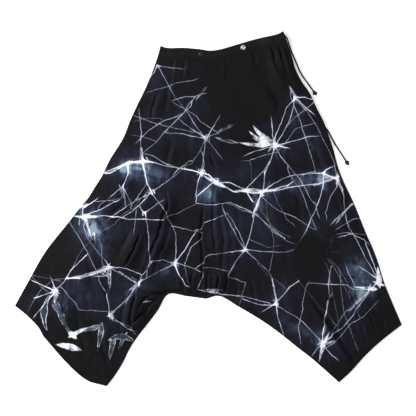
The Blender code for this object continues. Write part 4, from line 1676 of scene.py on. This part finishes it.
@dataclass
class Shell:
    """The fine surface of one panel.

    Attributes:
        half: Which half it is.
        pitch: How far apart its cross lines are.
        columns: How many lines run down it.
    """

    half: Half
    pitch: float
    columns: int

    def __post_init__(self) -> None:
        """Lay out its grid, flat."""
        self.panel = PANELS[self.half]
        self.rows = shell_rows(self.panel, self.pitch)
        self.across = shell_shares(self.panel, self.rows, self.columns)
        self.row = self.rows.at[:, None] * np.ones_like(self.across)
        self.place = self.panel.point(self.row, self.across)
        self.x, self.y = self.place[..., 0], self.place[..., 1]

    def edge_gap(self) -> Array:
        """Return each point's distance to the side seam's and the leg's rolled edges."""
        panel, gaps = self.panel, []
        for first, share in ((0, 0.0), (panel.corner, 1.0)):
            fine = np.linspace(first, panel.last, 12 * (panel.last - first) + 1)
            gaps.append(gap_to(panel.point(fine, share), self.place, EDGE_REACH))
        return np.minimum(*gaps)

    def seam_gap(self) -> Array:
        """Return each point's distance to the centre seam, along its cross line."""
        panel = self.panel
        width = norm(curve_at(panel.side, self.row) - panel.inner_at(self.row))
        return np.where(self.row <= panel.corner, (1 - self.across) * width, NO_SEAM)

    def relief(self) -> tuple[Array, Array]:
        """Return the cloth's creases and unevenness, and where its pattern slips to in them."""
        points = self.place.reshape(-1, 2)
        total, slip = np.zeros(len(points)), np.zeros_like(points)
        for crease in CREASES:
            close, height, step = crease.read(points)
            total[close] += height
            slip[close] += step
        total = total.reshape(self.x.shape)
        for wave in RELIEF:
            total += wave.at(self.x, self.y)
        return total, points + slip

    def front_height(self) -> tuple[Array, Array]:
        """Return the height of the front cloth's face, and where its pattern slips to."""
        panel, rows = self.panel, self.rows
        wall = panel.wall(self.row)
        at_band = SEWN.front_band_seat + (SEWN.band_wall - SEWN.wall) / 2
        on_back = wall + SEWN.seam_gap
        seat = on_back + (at_band - on_back) * smooth(1 - self.row / SEWN.fade_sections)
        free = panel.free_reach(self.row, self.place)
        folds = np.zeros_like(self.x)
        for fold in FOLDS:
            folds += fold.at(self.x, self.y)
        relief, slipped = self.relief()
        folds += relief * smooth(self.row / 0.35)
        height = seat + cord_lift(self.place) + wall
        height += SEWN.air_loft * smooth(free / SEWN.loft_run)
        height += folds * smooth(free / SEWN.fold_run)
        # the centre seam's groove and its puckers, deeper towards the crotch
        seam = self.seam_gap()
        depth = 0.35 + 1.5 * smooth((60.0 - self.y) / 120.0)
        along = self.y + 0.35 * self.x
        pucker = np.sin(along / 2.3) + 0.6 * np.sin(along / 3.9 + 1.0)
        groove = bell(seam, SEAM_HALF_WIDTH) + 0.3 * bell(seam - 6.5, 3.0)
        height -= depth * groove - 0.1 * pucker * np.exp(-seam / 9.0)
        # the hem's sewing, and the gathers along the hem and below the waistband
        hem = np.where(rows.under, 2 * HEM_SEWING, rows.to_hem)[:, None]
        height -= 0.5 * bell(hem - HEM_SEWING, 1.6)
        gather = np.sin(self.across * 190.0 + 2.0 * np.sin(self.across * 31.0))
        height += 0.22 * gather * bell(hem - 19.0, 7.0)
        gather = np.sin(self.across * 120.0 + 3.0 * np.sin(self.across * 17.0))
        height += 0.2 * gather * bell(self.row * 45.0 - 9.0, 9.0)
        height = np.maximum(height, cord_lift(self.place) + SEWN.seam_gap + wall)
        return height - self.hem_drop(), slipped

    def hem_drop(self) -> Array:
        """Return how far below the hem's face each cross line lies, round its fold."""
        return fold_drop(self.rows.to_hem, self.rows.under, SEWN.hem_wall / 2)[:, None]

    def dress(self, side: str, height: Array, points: Array, material: Material) -> Piece:
        """Build the panel's cloth.

        Args:
            side: Which face of the garment it is, front or back.
            height: Of each point of the grid.
            points: The place in the dye's pattern that each point shows.
            material: Its finish.
        """
        name = f"cloth_{side}_{self.half.value}"
        back = side == "back"
        mesh = sheet_mesh(name, np.dstack([self.x, self.y, height]), up=not back)
        set_attributes(mesh, face_dye(back).read(points))
        return link(name, mesh, material, f"{side}_{self.half.value}")

    def make_front(self, material: Material) -> Piece:
        """Build the front panel's cloth."""
        base = SEWN.seam_gap + cord_lift(self.place)
        self.face, slipped = self.front_height()
        height = base + (self.face - base) * curl_at(self.edge_gap())
        return self.dress("front", height, slipped, material)

    def make_back(self, material: Material) -> Piece:
        """Build the back panel's cloth: flat underneath, its hem turned in on top."""
        curl = curl_at(self.edge_gap())
        height = cord_lift(self.place) + SEWN.seam_gap * (1 - curl)
        height = height + 0.9 * bell(self.seam_gap(), SEAM_HALF_WIDTH) + self.hem_drop() * curl
        return self.dress("back", height, self.place.reshape(-1, 2), material)

    def hem_line(self, inset: float) -> Array:
        """Return the sewing line round the front of the hem, this far above its fold."""
        top = np.flatnonzero(~self.rows.under)
        order = top[np.argsort(self.rows.to_hem[top])]
        far = self.rows.to_hem[order]
        edge = np.flatnonzero((self.across[order[0]] > 0.012) & (self.across[order[0]] < 0.988))
        grids = (self.x, self.y, self.face)
        return np.array([[np.interp(inset, far, grid[order, j]) for grid in grids] for j in edge])


# --- waistband


SEAM_ROW, EDGE_ROW = 0.13, 0.88


class Layer(Enum):
    """Which of the waistband's two casings."""

    BACK = 0
    FRONT = 1


@dataclass
class Waistband:
    """The drawstring casing round the waist, lying flat: a front and a back length of it.

    Attributes:
        columns: How many steps run along it.
        lip: How far its cloth turns down inside its top edge.
    """

    columns: int = 300
    lip: float = 16.0

    def height(self, place: Array, up: Array, at: Array, layer: Layer) -> Array:
        """Return the height of the casing's outer face, with the puckers that the cord gathers."""
        seat = cord_lift(place) + layer.value * SEWN.front_band_seat
        if layer is Layer.BACK:
            return seat
        along = at * 38.0
        gathers = 0.5 * np.sin(along / 4.1 + 1.7 * np.sin(along / 23.0))
        gathers += 0.32 * np.sin(along / 2.3 + 0.8)
        gathers += 0.5 * np.sin(along / 9.7 + 2.1)
        shape = np.sin(math.pi * np.clip(up, 0, 1)) ** 0.8
        ends = smooth((9.0 - at) / 0.5) * 0.5 + 0.5
        pinch = 0.55 * bell(up - SEAM_ROW, 0.035) + 0.4 * bell(up - EDGE_ROW, 0.035)
        puff = SEWN.band_wall + SEWN.band_puff * shape
        return seat + puff + 0.42 * gathers * shape * ends - pinch

    def make(self, layer: Layer, material: Material) -> Piece:
        """Build one length of the casing."""
        last = len(WAIST) - 1.0
        ends = np.array((0.0, 0.004, 0.012, 0.026, 0.05, 0.085))
        inner = np.linspace(0.13, last - 0.13, self.columns)
        at = np.concatenate([ends, inner, last - ends[::-1]])[:, None]
        radius = SEWN.band_wall / 2
        rise = np.array((0.0, 0.35, 0.9, 1.6, 2.4)) / SEWN.band_height
        roll = np.array((radius, 0.6, 0.25, 0.06, 0.0))
        body = np.linspace(3.6 / SEWN.band_height, 1 - 2.4 / SEWN.band_height, 24)
        upper = 1 - roll / SEWN.band_height
        turned = 1 - np.concatenate([roll[::-1][1:], (5.0, self.lip)]) / SEWN.band_height
        up = np.concatenate([rise, body, upper, turned])[None, :]
        inside = (np.arange(up.size) >= rise.size + body.size + upper.size)[None, :]
        low, high = waist_seam(at[:, 0]), waist_top(at[:, 0])
        place = low[:, None, :] + (high - low)[:, None, :] * up[..., None]
        face = self.height(place, up + 0 * at, at + 0 * up, layer)
        to_top, to_seam = (1 - up) * SEWN.band_height, up * SEWN.band_height
        drop = fold_drop(to_top, inside, radius)
        foot = 0.75 * (1 - np.sqrt(1 - (1 - np.clip(to_seam / 1.6, 0, 1)) ** 2))
        base = cord_lift(place) + SEWN.seam_gap
        height = face - drop - foot if layer is Layer.FRONT else face + drop
        keep = curl_at(np.minimum(at, last - at) * 30.0 + 0 * up)
        height = base + (height - base) * keep
        where = layer.name.lower()
        name = f"casing_{where}"
        mesh = sheet_mesh(name, np.dstack([place, height]), up=layer is Layer.FRONT)
        # how much paler the casing is: along its rolled top edge, its seam and its crown
        edge = bell(to_top - 0.3, 1.6) + 0.5 * bell(to_seam - 0.9, 1.2) + 0.25 * bell(up - 0.5, 0.2)
        set_attributes(mesh, {"paler_share": one_each(edge + 0 * at)})
        return link(name, mesh, material, f"waistband_{where}")

    def sewing_line(self, up: float) -> Array:
        """Return a sewing line along the front casing at this share of its height."""
        at = np.linspace(0.1, len(WAIST) - 1.1, 600)
        low, high = waist_seam(at), waist_top(at)
        place = low + (high - low) * up
        height = self.height(place, np.full_like(at, up), at, Layer.FRONT)
        return np.column_stack([place, height])


# --- sewing


@dataclass
class Stitcher:
    """Sews rows of stitches with Geometry Nodes: one tree, a modifier for each row.

    Attributes:
        thread: The thread's finish.
        pitch: From one stitch to the next.
        length: How long a stitch shows.
        width: How thick the thread is.
    """

    thread: Material
    pitch: float = 2.9
    length: float = 2.2
    width: float = 0.5

    def __post_init__(self) -> None:
        """Build the tree."""
        tree = bpy.data.node_groups.new("stitch_row", "GeometryNodeTree")
        face = tree.interface
        face.new_socket("Geometry", in_out="INPUT", socket_type="NodeSocketGeometry")
        for name in ("Pitch", "Length", "Width"):
            face.new_socket(name, in_out="INPUT", socket_type="NodeSocketFloat")
        face.new_socket("Thread", in_out="INPUT", socket_type="NodeSocketMaterial")
        face.new_socket("Geometry", in_out="OUTPUT", socket_type="NodeSocketGeometry")
        self.tree = tree
        given = self.add("NodeGroupInput")
        curve = self.add("GeometryNodeMeshToCurve", Mesh=given["Geometry"])
        spaced = self.add(
            "GeometryNodeCurveToPoints", mode="LENGTH", Curve=curve[0], Length=given["Pitch"]
        )
        bead = self.add("GeometryNodeMeshUVSphere", Segments=6, Rings=4, Radius=0.5)
        size = self.add(
            "ShaderNodeCombineXYZ", X=given["Length"], Y=given["Width"], Z=given["Width"]
        )
        turned = self.add(
            "FunctionNodeAlignRotationToVector", axis="X", Vector=spaced["Tangent"]
        )
        sewn = self.add(
            "GeometryNodeInstanceOnPoints",
            Points=spaced["Points"],
            Instance=bead["Mesh"],
            Rotation=turned["Rotation"],
            Scale=size["Vector"],
        )
        real = self.add("GeometryNodeRealizeInstances", Geometry=sewn[0])
        dressed = self.add("GeometryNodeSetMaterial", Geometry=real[0], Material=given["Thread"])
        self.add("NodeGroupOutput", Geometry=dressed[0])

    def add(self, kind: str, **values: object) -> bpy.types.bpy_prop_collection:
        """Add a node and return its outputs; its sockets' names begin with a capital."""
        settings = {key: value for key, value in values.items() if key.islower()}
        sockets = {key: value for key, value in values.items() if not key.islower()}
        return add_node(self.tree, kind, settings, sockets).outputs

    def sew(self, name: str, line: Array, slot: str) -> Piece:
        """Sew one row along a line.

        Args:
            name: The piece's name.
            line: The points that it follows, in millimetres.
            slot: Not used.

        Returns:
            The stitches, a plain mesh.
        """
        guide = bpy.data.meshes.new(f"{name}_guide")
        points = [tuple(p) for p in line * MM]
        guide.from_pydata(points, [(i, i + 1) for i in range(len(points) - 1)], [])
        holder = add_object(f"{name}_guide", guide)
        modifier = holder.modifiers.new("stitches", "NODES")
        modifier.node_group = self.tree
        given = {"Pitch": self.pitch * MM, "Length": self.length * MM, "Width": self.width * MM}
        given["Thread"] = self.thread
        for item in self.tree.interface.items_tree:
            if item.in_out == "INPUT" and item.name in given:
                modifier[item.identifier] = given[item.name]
        depsgraph = bpy.context.evaluated_depsgraph_get()
        mesh = bpy.data.meshes.new_from_object(holder.evaluated_get(depsgraph))
        bpy.data.objects.remove(holder)
        bpy.data.meshes.remove(guide)
        mesh.name = name
        mesh.shade_smooth()
        return link(name, mesh, self.thread)


# --- cords and knots


KNOT_SHAPE = (1.85, 1.66, 1.45)
KNOT_AHEAD, KNOT_HEIGHT = 7.6, 4.2
TAIL_AHEAD, TAIL_ASIDE, TAIL_HEIGHT = 9.0, 1.4, 2.4
KNOT_CORD_RADIUS = 2.45


def tube(name: str, path: Array, radius: Array, sides: int) -> Mesh:
    """Return a closed round tube along a path, with the braid's relief.

    Args:
        name: The mesh's name.
        path: Its centreline.
        radius: Its radius at each point.
        sides: How many sides it has.

    Returns:
        The mesh, with the relief's height stored on its points, where the cord's finish reads it
        for painted shade and highlight.
    """
    ahead = np.gradient(path, axis=0)
    ahead /= norm(ahead)[:, None]
    across = np.cross(ahead[0], (0.0, 0.0, 1.0))
    frames = []
    for direction in ahead:
        across = across - direction * (across @ direction)
        across = across / np.linalg.norm(across)
        frames.append((across, np.cross(direction, across)))
    turn = np.arange(sides) * math.tau / sides
    far = walked(path)[:, None]
    wave = np.cos(3 * turn[None] + far * 1.15) * np.cos(3 * turn[None] - far * 1.15)
    height = 0.5 + 0.5 * wave
    reach = radius[:, None] * (1.0 + 0.10 * (height - 0.7))
    first, second = (np.array([f[k] for f in frames])[:, None, :] for k in (0, 1))
    ring = np.cos(turn)[None, :, None] * first + np.sin(turn)[None, :, None] * second
    grid = path[:, None, :] + reach[..., None] * ring
    mesh = sheet_mesh(name, grid, up=True, round_it=True)
    caps = bmesh.new()
    caps.from_mesh(mesh)
    caps.verts.ensure_lookup_table()
    bmesh.ops.holes_fill(caps, edges=[e for e in caps.edges if e.is_boundary], sides=sides)
    bmesh.ops.recalc_face_normals(caps, faces=caps.faces)
    caps.to_mesh(mesh)
    caps.free()
    mesh.shade_smooth()
    set_attributes(mesh, {"plait": one_each(height)})
    return mesh


@dataclass
class FreeEnd:
    """One free end of the drawcord, with the knot at its tip.

    Attributes:
        where: Which end, upper or lower.
        route: What its centreline passes through.
        knot_turn: How the knot is turned about the cord, in degrees.
        crown: How far the plaits' crowns stand proud of the cord.
        pitch, sides: How far apart its rings are, and how many points each has.
    """

    where: str
    route: tuple[RoutePoint, ...]
    knot_turn: float
    crown: float = 0.18
    pitch: float = 0.7
    sides: int = 18

    def centreline(self) -> Array:
        """Return the cord's centreline, closely and evenly spaced."""
        points = [(p.x, p.y, p.z) for p in self.route]
        fine = curve_at(points, np.linspace(0, len(points) - 1, 40 * (len(points) - 1) + 1))
        return evenly(fine, self.pitch)

    def make(self, material: Material) -> None:
        line = self.centreline()
        radius = np.full(len(line), SEWN.cord / 2 + self.crown)
        name = f"cord_{self.where}"
        mesh = tube(name, line, radius, self.sides)
        cord = link(name, mesh, material, f"drawcord_{self.where}")
        knot = self.make_knot(line, material)
        [tuple(p) for p in evenly(line, 6.0) * MM]

    def make_knot(self, line: Array, material: Material) -> Piece:
        """Tie the overhand knot past the cord's end, with its short tail."""
        end, ahead = line[-1], line[-1] - line[-6]
        ahead = np.array((ahead[0], ahead[1], 0.0)) / np.hypot(ahead[0], ahead[1])
        side = np.array((-ahead[1], ahead[0], 0.0))
        t = np.linspace(0.0, math.tau, 150)[6:-6]
        x, y, z = np.sin(t) + 2 * np.sin(2 * t), np.cos(t) - 2 * np.cos(2 * t), -np.sin(3 * t)
        turn = math.radians(self.knot_turn)
        cos, sin = math.cos(turn), math.sin(turn)
        shape = np.stack([x * cos - y * sin, x * sin + y * cos, z], axis=1) * KNOT_SHAPE
        centre = end + ahead * KNOT_AHEAD
        centre[2] = KNOT_HEIGHT
        body = centre + shape[:, :1] * ahead + shape[:, 1:2] * side + shape[:, 2:] * (0, 0, 1)
        if np.linalg.norm(body[0] - end) > np.linalg.norm(body[-1] - end):
            body = body[::-1]
        lead = end - ahead * 1.0
        tail_end = centre + ahead * TAIL_AHEAD + side * TAIL_ASIDE
        tail_end[2] = TAIL_HEIGHT
        knots = np.vstack([lead, body[4:-4:6], (body[-1] + tail_end) / 2, tail_end])
        path = evenly(curve_at(knots, np.linspace(0, len(knots) - 1, 360)), 0.5)
        share = np.linspace(0.0, 1.0, len(path))
        radius = KNOT_CORD_RADIUS - 0.05 * smooth(share / 0.12) - 0.6 * bell(share - 1.0, 0.06)
        name = f"tie_{self.where}"
        mesh = tube(name, path, radius, 14)
        return link(name, mesh, material, f"knot_{self.where}")


# --- snaps


ROLL = 0.75
# each row: distance from the axis and height as shares, and the share of painted shade, highest in
# the well
SNAP_FACE = (
    (0.80, 0.74, 0.25), (0.74, 0.80, 0.2), (0.66, 0.96, 0.0), (0.56, 1.0, 0.0), (0.46, 0.96, 0.0),
    (0.40, 0.80, 0.3), (0.37, 0.45, 0.8), (0.33, 0.34, 1.0), (0.22, 0.34, 1.0), (0.19, 0.42, 0.8),
    (0.17, 0.56, 0.35), (0.11, 0.63, 0.2), (0.0, 0.65, 0.15),
)


@dataclass
class RingSnap:
    """A ring snap on the front waistband: a turned cap round a small post.

    Attributes:
        where: Which one, left or right.
        slot: Not used.
        radius: Of its rim.
        height: Of its crown above the cloth.
        steps: How many flats it has round it.
    """

    where: str
    slot: str
    radius: float = 7.0
    height: float = 2.2
    steps: int = 56

    def profile(self) -> list[tuple[float, float, float]]:
        """Return its outline: distance from the axis, height, and how deep in the well it is, which
        sets its painted shade and its roughness.
        """
        r, h = self.radius, self.height
        outline = [(r * 0.90, 0.0, 0.3)]
        for k in range(7):
            turn = math.radians(-70 + 30 * k)
            outline.append((r - ROLL + ROLL * math.cos(turn), 0.8 + ROLL * math.sin(turn), 0.0))
        return outline + [(r * out, h * up, deep) for out, up, deep in SNAP_FACE]

    def make(self, material: Material) -> None:
        """Turn the cap at its solid's place."""
        low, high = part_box(f"snap_{self.where}")
        centre = [(low[k] + high[k]) / 2 for k in (0, 1)]
        shape = bmesh.new()
        # depth carries the share of painted shade at each point
        depth = shape.verts.layers.float_vector.new("depth")
        path = []
        for out, up, deep in self.profile():
            vert = shape.verts.new((centre[0] + out * MM, centre[1], low[2] + up * MM))
            vert[depth] = Vector((deep, 0, 0))
            path.append(vert)
        edges = [shape.edges.new(pair) for pair in zip(path, path[1:])]
        turn = {"angle": math.tau, "steps": self.steps, "use_merge": True}
        bmesh.ops.spin(shape, geom=path + edges, cent=(*centre, low[2]), axis=(0, 0, 1), **turn)
        bmesh.ops.remove_doubles(shape, verts=shape.verts, dist=0.01 * MM)
        rim = [edge for edge in shape.edges if edge.is_boundary]
        bmesh.ops.holes_fill(shape, edges=rim, sides=self.steps)
        bmesh.ops.recalc_face_normals(shape, faces=shape.faces)
        name = f"ring_{self.where}"
        mesh = bpy.data.meshes.new(name)
        shape.to_mesh(mesh)
        shape.free()
        mesh.shade_smooth()
        mesh.set_sharp_from_angle(angle=math.radians(50))
        link(name, mesh, material, f"snap_{self.where}")


# --- studio


@dataclass(frozen=True)
class Softbox:
    """A square lamp that looks at the garment."""

    name: str
    place: tuple
    size: float
    power: float
    colour: tuple = (1.0, 1.0, 1.0)


@dataclass(frozen=True)
class Studio:
    """The white sweep, the lamps, the sky and the camera straight above.

    Attributes:
        view_width: How much of the sweep the picture shows from side to side.
        centre: What the camera looks down at.
        distance: The camera's height.
        sweep, air: Half the sweep's width, and how far below the garment it lies.
    """

    view_width: float = 1.2688
    centre: tuple = (-0.00107, 0.00183)
    distance: float = 4.2
    sensor: float = 36.0
    sky: float = 0.52
    sweep: float = 6.0
    air: float = 0.0005
    lamps: tuple = (
        Softbox("key", (-2.7, 0.9, 1.6), 1.4, 182.0),
        Softbox("fill", (1.8, -1.2, 2.4), 2.4, 34.0),
    )

    def build(self) -> None:
        """Set up the room."""
        steps = np.linspace(-self.sweep, self.sweep, 9)
        grid = np.array([[(x, y, -self.air) for x in steps] for y in steps]) / MM
        mesh = sheet_mesh("sweep", grid, up=True)
        mesh.materials.append(Paper().make())
        add_object("sweep", mesh)
        for lamp in self.lamps:
            light = bpy.data.lights.new(lamp.name, "AREA")
            light.shape, light.size = "SQUARE", lamp.size
            light.energy, light.color = lamp.power, lamp.colour
            holder = add_object(lamp.name, light)
            holder.location = lamp.place
            holder.rotation_euler = (-Vector(lamp.place)).to_track_quat("-Z", "Y").to_euler()
        world = bpy.data.worlds.new("studio")
        world.use_nodes = True
        backdrop = world.node_tree.nodes["Background"]
        backdrop.inputs[0].default_value = (1.0, 1.0, 1.0, 1.0)
        backdrop.inputs[1].default_value = self.sky
        bpy.context.scene.world = world
        lens = bpy.data.cameras.new("camera")
        lens.sensor_width = self.sensor
        lens.lens = self.sensor * self.distance / self.view_width
        lens.clip_end = 50.0
        camera = add_object("camera", lens)
        camera.location = (*self.centre, self.distance)
        bpy.context.scene.camera = camera
        bpy.context.scene.view_settings.view_transform = "Standard"


# --- the garment


@dataclass
class HaremPants:
    """The whole garment, piece by piece."""

    front_pitch: float = 2.4
    front_columns: tuple = (210, 204)
    back_pitch: float = 3.6
    back_columns: tuple = (112, 130)

    def dress_panels(self) -> None:
        """Build the four cloth panels."""
        front_cotton = CrackledCotton("dyed_cotton", self.front_pitch).make()
        back_cotton = CrackledCotton("dyed_cotton_back", 3.8).make()
        self.shells = {}
        for half, columns, back_columns in zip(Half, self.front_columns, self.back_columns):
            shell = Shell(half, self.front_pitch, columns)
            self.shells[half] = shell
            front = shell.make_front(front_cotton)
            back = Shell(half, self.back_pitch, back_columns).make_back(back_cotton)

    def dress_waist(self) -> None:
        """Build the waistband's two lengths."""
        cotton = PlainCotton().make()
        self.band = Waistband()
        back = self.band.make(Layer.BACK, cotton)
        front = self.band.make(Layer.FRONT, cotton)

    def sew(self) -> None:
        """Sew the rows of stitches that show."""
        stitcher = Stitcher(Thread().make())
        stitcher.sew("stitches_waist_seam", self.band.sewing_line(SEAM_ROW), "band_cotton")
        stitcher.sew("stitches_waist_edge", self.band.sewing_line(EDGE_ROW), "band_cotton")
        for half, shell in self.shells.items():
            stitcher.sew(f"stitches_hem_{half.value}", shell.hem_line(HEM_SEWING), "dyed_cotton")

    def add_drawcord(self) -> None:
        """Build the drawcord's two free ends."""
        cotton = BraidedCotton().make()
        FreeEnd("upper", CORD_UPPER_ROUTE, knot_turn=20).make(cotton)
        FreeEnd("lower", CORD_LOWER_ROUTE, knot_turn=75).make(cotton)

    def add_snaps(self) -> None:
        """Set the two ring snaps."""
        nickel = Plate("nickel", (0.86, 0.86, 0.88, 1.0), (0.22, 0.22, 0.23, 1.0), 0.2)
        gunmetal = Plate("gunmetal", (0.050, 0.043, 0.048, 1.0), (0.016, 0.014, 0.015, 1.0), 0.42)
        RingSnap("right", "nickel").make(nickel.make())
        RingSnap("left", "gunmetal").make(gunmetal.make())


def main() -> None:
    """Build the studio and the garment."""
    logging.basicConfig(level=logging.INFO, format="%(message)s")
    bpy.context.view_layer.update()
    Studio().build()
    pants = HaremPants()
    pants.add_drawcord()
    pants.dress_panels()
    pants.dress_waist()
    pants.sew()
    pants.add_snaps()


if __name__ == "__main__":
    main()
